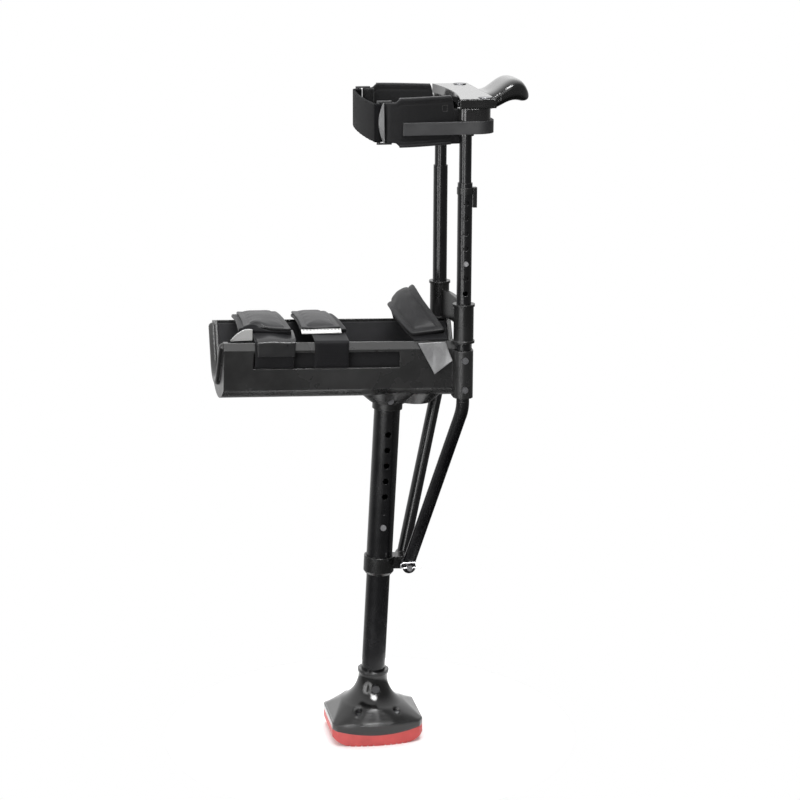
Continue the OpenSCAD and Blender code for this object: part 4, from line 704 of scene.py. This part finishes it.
def strap_pad(name, middle, near_w, far_w, buckle, lean, node):
    """Rings across the tray. Width runs from near to far and pulls in between the corners. Buckle is how far
    part of the near edge lifts and runs askew, and lean how far the backing shows on one side."""
    y = np.linspace(-PAD_NEAR, PAD_HALF, 61)
    share = (y + PAD_HALF) / (2 * PAD_HALF)
    edge = np.minimum(y + PAD_NEAR, PAD_HALF - y)
    line = xyz(middle, y, PAD_LOW + ARCH * bow(share))
    out = np.cross(ALONG_X, heading(line))
    wide = near_w + (far_w - near_w) * share - PAD_WAIST * bow(share) - END_ROUND * np.exp(-edge / 2.0)
    near = np.where(y < 0, 1, 0)[:, None]
    shape = outline(46, 5)
    place, inset, top, full, dip = stuffed(shape, wide, edge, 4.0, 7.0)
    full = full * (0.96 + 0.04 * np.sin(y[:, None] / 9 + 2 * place))
    wrinkle = 0.22 * np.sin(y[:, None] / 3.1 + 1.7 * np.sin(place * 3)) * hill(inset - 9, 4.0)
    lifted = buckle * hill(place + 0.5, 0.42) * np.exp(-edge[:, None] / 18.0) * near
    pulled = 2.0 * (1 - place ** 2) * np.exp(-edge[:, None] / 10.0) * (2 * near - 1)
    pulled = pulled - buckle * (place + 0.6) * np.exp(-edge[:, None] / 16.0) * near
    rings = carried(line, ALONG_X, out, wide, COVER_LOW, COVER_HIGH, 1.6, shape)
    rings = rings + out[:, None] * ((full - dip + wrinkle) * top + lifted)[..., None]
    rings[..., 1] += pulled
    cushion = settle(skin(name, rings), vinyl, "frame", "strap_vinyl", node)
    under = carried(line + ALONG_X * lean, ALONG_X, out, wide + 1.4 + 2 * abs(lean), BACKING_LOW,
                    BACKING_HIGH, 1.8, shape)
    under = under + out[:, None] * (lifted * np.clip(shape[:, 1] + 1, 0, 1)[None, :])[..., None]
    under[..., 1] += pulled
    backing = settle(skin(name + "_backing", under), nylon, "frame", "strap_vinyl")
    border_y = np.linspace(-PAD_NEAR + BORDER, PAD_HALF - BORDER, 120)
    border_share = (border_y + PAD_HALF) / (2 * PAD_HALF)
    half = np.interp(border_share, share, wide) / 2 - BORDER
    height = PAD_LOW + ARCH * bow(border_share) + SEAM_H
    far_x = np.linspace(middle - half[-1], middle + half[-1], 60)
    seams = {"back": xyz(middle - half, border_y, height)[10:],
             "front": xyz(middle + half, border_y, height)[10:],
             "far": xyz(far_x, border_y[-1], height[-1])}
    for word, seam in seams.items():
        sew(name + "_seam_" + word, seam, UP, thread_grey, "frame", "strap_vinyl")


strap_pad("rear_cushion", -142.0, 64.0, 54.0, 7.0, -3.0, "rear_strap_pad")
strap_pad("front_cushion", -72.0, 54.0, 47.0, 0.0, 4.0, "front_strap_pad")
print("two strap pads made")

# %% [markdown]
# ## What shows under the pads
# A dark flap falls over the rear strap, and pale lining looks out below both pads: a folded strip with whip
# stitches in front, and a hanging crescent at the rear. Each is a thin profile on its own short line.

# %% Flap and linings
FLAP_X = -134.0
flap_fall = [[FLAP_X, -76.9, 567.6], [FLAP_X, -77.0, 549.0]]
flap_line = np.concatenate([arched(FLAP_X, np.linspace(-32, -70, 12), 2.0), flap_fall])
flap_line = even(rounded_corner(flap_line, 1.5), 1.0)
flap_out = np.cross(heading(flap_line), ALONG_X)
flap_share = np.linspace(0, 1, len(flap_line))
flap_rings = carried(flap_line, ALONG_X, flap_out, 54 - 6 * flap_share, -0.6, 0.6, 0.5, outline(30, 3))
flap_wave = 1.6 * np.cos((flap_rings[..., 0] + 140) / 13.0) ** 2
flap_rings[..., 2] += flap_wave * np.sin(flap_share * math.pi)[:, None] ** 2
flap = settle(skin("rear_flap", flap_rings), black_satin, "frame", "strap_vinyl")

LINING_UP = np.array([0.0, 0.848, 0.530])
LINING_OUT = np.array([0.0, -0.530, 0.848])
lining_x = np.linspace(-98, -46, 60)
lining_line = xyz(lining_x, -45.6 + 0.5 * np.sin(lining_x / 7), 574.8 + 0.4 * np.sin(lining_x / 11))
lining_rings = carried(lining_line, LINING_UP, LINING_OUT, 8.0, -0.7, 0.7, 0.6, outline(6, 3))
lining = settle(skin("front_lining", lining_rings), felt, "frame", "strap_vinyl")
whip = lining_line + LINING_UP * 2.4 + LINING_OUT * 0.7
sew("front_lining_stitches", whip, LINING_OUT, thread_black, "frame", "strap_vinyl", 3.0, 1.6, 0.5)

ROLL_RUN = 29
turn = np.linspace(0, 1, 40)
roll_line = xyz(-192 + ROLL_RUN * turn, -63 + 5 * turn, 566.8 + 15 * np.sin(turn * math.pi * 0.62) ** 0.8)
roll_low = xyz(-190 + 27 * turn, -61 + 3 * turn, 566.4)
roll_wide = np.maximum(np.linalg.norm(roll_line - roll_low, axis=1), 1.0)
roll_across = unit(roll_line - roll_low + UP * 0.01)
roll_out = np.cross(heading(roll_low), roll_across)
roll_rings = carried((roll_line + roll_low) / 2, roll_across, roll_out, roll_wide, -0.6, 0.6, 0.5,
                     outline(10, 3))
rear_lining = settle(skin("rear_lining", roll_rings), felt, "frame", "strap_vinyl")
print("flap and linings made")

# %% [markdown]
# ## The loose knee strap
# The third strap is not closed in the photograph: it rises from the left rail, lies in a loose bow over the
# front of the trough and ends in a tab that hangs on the right wall. Its line is one cubic curve, its width
# direction tilts most in the middle, and the pad rides on that same line.

# %% Knee strap and its pad
KNEE_LINE = [(69, 74.4, 558), (59, 74.4, 606), (28, 18.25, 620), (68, -74.9, 568)]
KNEE_WIDE = 44.0
PAD_FROM = 0.36
PAD_SHARE = 0.61


def knee_frame(t):
    """Middle line, width direction and outward direction of the loose strap at the shares t."""
    line = bezier(KNEE_LINE, t)
    ahead = unit(bezier(KNEE_LINE, np.minimum(t + 0.01, 1)) - bezier(KNEE_LINE, np.maximum(t - 0.01, 0)))
    across = unit(xyz(1.0, 0.0, 0.8 * bow(t)))
    return line, across, unit(np.cross(ahead, across))


line, across, out = knee_frame(np.linspace(0, 1, 120))
rings = carried(line, across, out, KNEE_WIDE, -WEB_T / 2, WEB_T / 2, 0.9, outline(8, 4))
knee_web = settle(skin("knee_strap", rings), nylon, "frame", "webbing", "knee_strap_webbing")

share = np.linspace(0, 1, 90)
line, across, out = knee_frame(PAD_FROM + PAD_SHARE * share)
pad_length = travelled(line)[-1]
edge = np.minimum(share, 1 - share) * pad_length
shape = outline(40, 5)
wide = KNEE_WIDE + 1.0 - 2.2 * bow(share) - END_ROUND * np.exp(-edge / 2.0)
place, inset, top, full, dip = stuffed(shape, wide, edge, 5.4, 8.0)
wrinkle = 0.3 * np.sin(share[:, None] * 34 + 2 * np.sin(place * 2.5)) * hill(inset - 10, 5.0)
rings = carried(line, across, out, wide, 1.5, 7.6, 2.4, shape)
rings = rings + out[:, None] * ((full - dip + wrinkle) * top)[..., None]
knee_cushion = settle(skin("knee_cushion", rings), dark_vinyl, "frame", "strap_vinyl", "knee_strap_pad")
for word, k in (("back", -1), ("front", 1)):
    seam = line + across * (k * (wide / 2 - BORDER))[:, None] + out * 6.7
    sew("knee_cushion_seam_" + word, seam[4:-4], out[4:-4], thread_grey, "frame", "strap_vinyl")

# %% [markdown]
# ## The tab of the knee strap
# The tab is a four-sided piece of satin tape on the wall of the tray. Its lower end curls away from the wall
# and has a hem of two rows, so it catches the light as one bright patch.

# %% Tab
TAB = np.array([[50, 564], [86, 566], [95, 542], [72, 524]], float)
TAB_Y = -74.9
TAB_STEPS = 40
TAB_CURL = 5.0
TO_VIEWER = [0.0, -1.0, 0.0]
share = np.linspace(0, 1, TAB_STEPS)[:, None]
left = TAB[0] * (1 - share) + TAB[3] * share
right = TAB[1] * (1 - share) + TAB[2] * share
middle = (left + right) / 2
tab_wide = np.linalg.norm(right - left, axis=1)
tab_way = unit(right - left)
tab_line = xyz(middle[:, 0], TAB_Y, middle[:, 1])
tab_rings = carried(tab_line, xyz(tab_way[:, 0], 0.0, tab_way[:, 1]), TO_VIEWER, tab_wide, -1.3, 1.3, 1.1,
                    outline(24, 4))
folded = 0.9 * np.sin(tab_rings[..., 0] / 5.5) * bow(share)
tab_rings[..., 1] -= TAB_CURL * share ** 2 + np.maximum(folded, 0)
tab = settle(skin("knee_tab", tab_rings), satin, "frame", "strap_vinyl", "knee_strap_tail")
low_share = np.linspace(0.08, 0.92, TAB_STEPS)[:, None]
low_edge = TAB[3] * (1 - low_share) + TAB[2] * low_share
up_tab = unit((TAB[0] + TAB[1]) / 2 - (TAB[2] + TAB[3]) / 2)
for inset in (3.0, 6.0):
    place = low_edge + up_tab * inset
    hem = xyz(place[:, 0], TAB_Y - 1.25, place[:, 1])
    sew("knee_tab_hem_%d" % inset, hem, TO_VIEWER, thread_black, "frame", "strap_vinyl", 2.2, 0.9, 0.3)

# %% [markdown]
# ## The thigh band
# Two stiff cloth panels hold the thigh from the sides, each with a loop round its buckle, and an elastic
# closes them behind. A panel could be an extruded outline, but its rolled loop and bound edges catch light.
# So it is a tall flat profile that walks round the buckle bar, along the side and into the yoke.

# %% Panels with their loops
BUCKLE_X = 4.0
BAR_X = 7.3
BUCKLE_Y = 80.15
BAR_R = 2.4
SOFT = 0.4
PANEL_T = 5.0
PANEL_MID_Z = 848.5
PANEL_H = 61.0
PANEL_SEAM = 6.0
SEAM_SUNK = 0.35
FOLD_H = 50.0
FOLD_PAST = 9.0
TONGUE_X = 115.0
TONGUE_Y = -64.2
TONGUE_LONG = 21.0
TONGUE_CUT = 17.0
BIND_IN = 1.6
BIND_WIDE = 4.4
BIND_T = 0.35
BOX_X = 82.0
BOX_Z = 864.0
BOX_HALF = 4.0


def panel(side, word):
    """A panel as a line in plan: nearly round the bar, along the outer face, and in to the yoke. Its height
    is the fold's at the loop and the panel's from there on, less a cut over the tongue in the yoke."""
    bar = (BUCKLE_X + BAR_X, -BUCKLE_Y)
    mirror = np.array([1, -side, 1])
    loop_r = BAR_R + SOFT + PANEL_T / 2
    loop = arc(bar, loop_r, -20, 270, 60)
    loop_y = bar[1] - loop_r
    flank = bezier([(19.3, loop_y, 0), (45.3, loop_y, 0), (66, -74.2, 0), (96, TONGUE_Y, 0)],
                   np.linspace(0, 1, 60))
    plan = even(np.concatenate([loop, flank, [[TONGUE_X, TONGUE_Y, 0]]]), 1.2)
    out = np.cross(heading(plan), UP)
    far = travelled(plan)
    loop_end = travelled(loop)[-1] + FOLD_PAST
    tongue_from = far[-1] - TONGUE_LONG
    grown = 1 / (1 + np.exp(-(far - loop_end) / 1.3))
    sunk = 1 / (1 + np.exp(-(far - tongue_from) / 0.8))
    top_cut = TONGUE_CUT * sunk
    height = FOLD_H + (PANEL_H - FOLD_H) * grown - top_cut
    line = plan + UP * (PANEL_MID_Z - top_cut / 2)[:, None]
    shape = outline(40, 5)
    rings = carried(line, UP, out, height, -PANEL_T / 2, PANEL_T / 2, 1.6, shape)
    inset = (1 - np.abs(shape[:, 0]))[None, :] * height[:, None] / 2
    face = np.clip(np.abs(shape[:, 1]) * 4 - 3, 0, 1)[None, :] * np.sign(shape[:, 1])[None, :]
    plump = -0.5 * hill(inset - PANEL_SEAM, 1.0) * grown[:, None] * (1 - sunk[:, None])
    rings = (rings + out[:, None] * (plump * face)[..., None]) * mirror
    piece = settle(skin("thigh_band_" + word, rings), bonded, "upper_leg", "band_cloth",
                   "thigh_panel_" + word)
    keep = (far > loop_end + 2) & (far < tongue_from - 2)
    for name, way in (("low", -1), ("high", 1)):
        seam_z = PANEL_MID_Z + way * (PANEL_H / 2 - PANEL_SEAM)
        seam = (plan[keep] + UP * seam_z + out[keep] * (PANEL_T / 2 - SEAM_SUNK)) * mirror
        sew("thigh_seam_" + name + "_" + word, seam, out[keep] * mirror, thread_grey, "upper_leg",
            "band_cloth", 2.4, 1.0, 0.3)
    for name, way in (("low", -1), ("high", 1)):
        edge_line = plan[keep] + UP * (PANEL_MID_Z + way * (PANEL_H / 2 - BIND_IN))
        half_t = PANEL_T / 2 + BIND_T
        strip = carried(edge_line, UP, out[keep], BIND_WIDE, -half_t, half_t, 1.5, outline(6, 4)) * mirror
        tape = settle(skin("thigh_binding_" + name + "_" + word, strip), binding, "upper_leg", "band_cloth")
    boxed = (plan[:, 0] > BOX_X - BOX_HALF) & (plan[:, 0] < BOX_X + BOX_HALF) & (far > loop_end)
    sewn = plan[boxed] + out[boxed] * (PANEL_T / 2 - 0.1)
    low_row = sewn + UP * (BOX_Z - BOX_HALF)
    high_row = sewn + UP * (BOX_Z + BOX_HALF)
    square = even(np.concatenate([low_row, high_row[::-1], low_row[:1]]), 0.5) * mirror
    box_out = out[boxed].mean(axis=0) * mirror
    sew("thigh_box_" + word, square, box_out, thread_grey, "upper_leg", "band_cloth", 1.6, 0.6, 0.3)
    return far[-1]


panel_length = panel(-1, "right")
panel(1, "left")
print("panels", round(panel_length), "mm long, loops included")

# %% [markdown]
# ## The elastic behind the thigh
# The elastic is doubled round the far bar of each buckle and bows out a little between them. Its ribs run up
# and down, which its own finish shows; the line is two small arcs and one shallow cubic curve.

# %% Elastic strap
ELASTIC_T = 3.0
ELASTIC_H = 48.0
ELASTIC_R = BAR_R + SOFT + 0.3 + ELASTIC_T / 2
ELASTIC_BOW = 6.0
bar_x = BUCKLE_X - BAR_X
right_loop = arc((bar_x, -BUCKLE_Y), ELASTIC_R, 140, -180, 50)
start_x = bar_x - ELASTIC_R
behind = bezier([(start_x, -BUCKLE_Y, 0), (start_x - ELASTIC_BOW, -BUCKLE_Y / 2, 0),
                 (start_x - ELASTIC_BOW, BUCKLE_Y / 2, 0), (start_x, BUCKLE_Y, 0)], np.linspace(0, 1, 90))
left_loop = right_loop[::-1] * np.array([1, -1, 1])
plan = even(np.concatenate([right_loop, behind[1:-1], left_loop]), 1.0)
ripple = 0.4 * np.sin(np.linspace(0, 21 * math.pi, len(plan)))
rings = carried(plan + UP * PANEL_MID_Z, UP, np.cross(UP, heading(plan)), ELASTIC_H + ripple, -ELASTIC_T / 2,
                ELASTIC_T / 2, 1.2, outline(20, 4))
band = settle(skin("elastic_band", rings), elastic, "upper_leg", "webbing", "thigh_strap")

# %% [markdown]
# ## Faces of the buckles
# Each buckle shows a bowed face beside the loop of its panel, coloured pale grey: part the buckle's own
# grey, part a painted highlight of its lit side. From the side it is a crescent, so it is a flat profile
# that is widest halfway up.

# %% Bowed faces of the buckles
FACE_Y = -87.6
FACE_HALF_H = 25.5
FACE_TURN = math.radians(28.0)


def buckle_face(side, word):
    """The bowed outer face of a buckle, a crescent whose rear edge bends round the elastic."""
    rise = np.linspace(-1, 1, 50)
    wide = 1.6 + 6.4 * (1 - rise ** 2)
    front = 3.3 - 0.6 * rise
    line = xyz(front - wide / 2, FACE_Y, PANEL_MID_Z + FACE_HALF_H * rise)
    across = [math.cos(FACE_TURN), -math.sin(FACE_TURN), 0.0]
    out = [-math.sin(FACE_TURN), -math.cos(FACE_TURN), 0.0]
    rings = carried(line, across, out, wide, -0.8, 0.8, 0.7, outline(8, 4))
    rings[..., 1] *= -side
    settle(skin("buckle_face_" + word, rings), buckle_grey_and_highlight, "upper_leg", "grey_plastic")


buckle_face(-1, "right")
buckle_face(1, "left")
print("two buckle faces made")

# %% [markdown]
# ## The hand grip
# The grip is one polished moulding that sweeps up from the plate and falls again to a broad rounded nose,
# with a few ribs on each side. Its sections are rounded rectangles between a top and a bottom curve, and the
# last millimetres close in a quarter round, so no flat facet shows in the gloss.

# %% Grip
GRIP_TOP = [(146, 0, 877), (165.67, 0, 875.12), (175.5, 0, 912.34), (205, 0, 883.02)]
GRIP_LOW = [(146, 0, 856), (165.67, 0, 851.95), (175.5, 0, 878.5), (205, 0, 859.15)]
GRIP_HALF = 38.0
GRIP_POWER = 4.0
GRIP_SIDES = 96
NOSE_FROM = 0.84
NOSE_SHARE = 1 - NOSE_FROM
NOSE_IN = 9.0
RIB_DEPTH = 0.7
t = np.concatenate([np.linspace(0, NOSE_FROM, 90),
                    NOSE_FROM + NOSE_SHARE * np.sin(np.linspace(0.03, 1, 28) * math.pi / 2)])
top_line = bezier(GRIP_TOP, t)
low_line = bezier(GRIP_LOW, t)
turn = (np.arange(GRIP_SIDES) + 0.5) * 2 * math.pi / GRIP_SIDES
wave_y = np.sign(np.cos(turn)) * np.abs(np.cos(turn)) ** (2 / GRIP_POWER)
wave_z = np.sign(np.sin(turn)) * np.abs(np.sin(turn)) ** (2 / GRIP_POWER)
nose = np.sqrt(np.clip(1 - (np.maximum(t - NOSE_FROM, 0) / NOSE_SHARE) ** 2, 0.0004, 1))
ribs = RIB_DEPTH * np.sin(np.clip((t - 0.10) / 0.24, 0, 1) * 4 * math.pi) ** 2
half = GRIP_HALF * (1 - 0.35 * t ** 6) - NOSE_IN * (1 - nose)
grip_mid = (top_line + low_line) / 2
grip_rise = (top_line - low_line) / 2 * nose[:, None]
grip_side = wave_y[None, :] * (half[:, None] - ribs[:, None] * np.abs(wave_y)[None, :] ** 6)
rings = (grip_mid[:, None] + grip_rise[:, None] * wave_z[None, :, None]
         + np.array([0, 1.0, 0]) * grip_side[..., None])
settle(skin("palm_grip", rings), finishes["gloss_plastic"], "upper_leg", "gloss_plastic", "hand_grip")
print("grip rises to", round(float(rings[..., 2].max()), 1), "mm")

# %% [markdown]
# ## Floor
# The object stands on a small round of pale paper. A large floor would be mirrored in the belly of the tray
# and in the tubes, which have to stay dark.

# %% Paper floor
FLOOR_R = 0.28
turn = np.linspace(0, 2 * math.pi, 97)[:-1]
paper = bpy.data.meshes.new("paper")
paper.from_pydata(xyz(FLOOR_R * np.cos(turn), FLOOR_R * np.sin(turn), 0.0).tolist(), [],
                  [list(range(len(turn)))])
floor = put("paper", paper)
material, tree, shader, where = finish("studio_paper", Roughness=0.9)
wire(tree, shader, Base_Color=shades(tree, noise(tree, where, 3.0), tone(900, 900), tone(930, 930)),
     Normal=bump(tree, noise(tree, where, 400.0), 0.1 * MM))
paper.materials.append(material)
floor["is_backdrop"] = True
print("paper floor of radius", FLOOR_R, "m")

# %% [markdown]
# ## Light
# A soft tent is bright above and behind and dim in front, so black faces stay dark and their tops shine.
# Two lamps, one above and one on the left, light dull faces and aren't mirrored. A broad card on the left
# draws one soft line on each tube, and an oval above puts gloss on the foot; these two are only mirrored. A
# dim card in front does both.

# %% Tent and lamps
LEFT = (-1.36, -1.72, 0.95)
MIDDLE = (0.0, 0.0, 0.6)


def tent():
    """A tent that is white above and behind, grey in front, and dark below. What the camera sees past the
    floor is plain white, so the object stands free on the page."""
    world = bpy.data.worlds.new("tent")
    world.use_nodes = True
    tree = world.node_tree
    way = add(tree, "TexCoord").outputs["Generated"]
    facing = add(tree, "VectorMath", {0: way, 1: (-0.25, 0.62, 0.74)}, operation="DOT_PRODUCT")
    behind = ramp(tree, facing.outputs["Value"], 0.0, 1.1, -0.05, 0.70)
    around = ramp(tree, add(tree, "SeparateXYZ", {"Vector": way}).outputs["Z"], 0.02, 0.20, -0.60, -0.20)
    glow = math_node(tree, "MAXIMUM", behind, around)
    seen = add(tree, "LightPath").outputs["Is Camera Ray"]
    strength = add(tree, "Mix", {0: seen, 2: glow, 3: 1.0}).outputs[0]
    background = tree.nodes["Background"]
    wire(tree, background, Strength=strength)
    background.inputs["Color"].default_value = (1.0, 1.0, 1.0, 1)
    bpy.context.scene.world = world


def lamp(name, place, aim, wide, tall, power, lights=True, mirrored=True):
    """A soft oval lamp at a place, turned to what it lights. Lights says whether it reaches dull faces, and
    mirrored whether gloss shows it."""
    data = bpy.data.lights.new(name, "AREA")
    data.shape = "ELLIPSE"
    data.size = wide
    data.size_y = tall
    data.energy = power
    made = put(name, data)
    made.location = place
    made.visible_diffuse = lights
    made.visible_glossy = mirrored
    made.rotation_euler = (Vector(aim) - Vector(place)).to_track_quat("-Z", "Y").to_euler()


tent()
lamp("floor_lamp", (0.1, 0.3, 3.2), (0.1, 0.3, 0.0), 2.6, 2.6, 125.0, mirrored=False)
lamp("left_fill", LEFT, MIDDLE, 1.3, 1.7, 20.0, mirrored=False)
lamp("gloss_card", LEFT, MIDDLE, 2.4, 1.9, 88.0, lights=False)
lamp("top_strip", (0.25, -1.5, 2.1), (0.0, 0.0, 0.3), 0.9, 0.8, 55.0, lights=False)
lamp("front_card", (0.55, -3.4, 1.35), MIDDLE, 1.8, 0.6, 9.0)
bpy.context.scene.view_settings.view_transform = "Standard"
print("lamps:", len(bpy.data.lights))

# %% [markdown]
# ## Camera
# The camera is where the photograph was taken from, worked out from where the tubes and the tray appear in
# it: a turn, a height and a slight roll about a point on the object, and a lens in pixels of the photograph.

# %% Camera
AZIMUTH = math.radians(-10.62)
ELEVATION = math.radians(14.34)
ROLL = math.radians(0.23)
DISTANCE = 3.04666
TARGET = Vector((0.0405, 0.0, 0.4682))
SENSOR = 36.0
LENS_PIXELS = 2290.7
PHOTO_PIXELS = 800
back = Vector((math.sin(AZIMUTH) * math.cos(ELEVATION), -math.cos(AZIMUTH) * math.cos(ELEVATION),
               math.sin(ELEVATION)))
right = (-back).cross(Vector((0, 0, 1))).normalized()
up_way = right.cross(-back)
turned_right = right * math.cos(ROLL) + up_way * math.sin(ROLL)
turned_up = up_way * math.cos(ROLL) - right * math.sin(ROLL)
lens = bpy.data.cameras.new("camera")
lens.sensor_width = SENSOR
lens.lens = SENSOR * LENS_PIXELS / PHOTO_PIXELS
camera = put("camera", lens)
pose = Matrix((turned_right, turned_up, back)).transposed().to_4x4()
pose.translation = TARGET + back * DISTANCE
camera.matrix_world = pose
bpy.context.scene.camera = camera
print("lens", round(lens.lens, 1), "mm")

# %% [markdown]
# ## Sizes
# The box of the dressed object is printed.

# %% Sizes
low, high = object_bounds()
print("visual box", [round(x / MM, 1) for x in (*low, *high)])
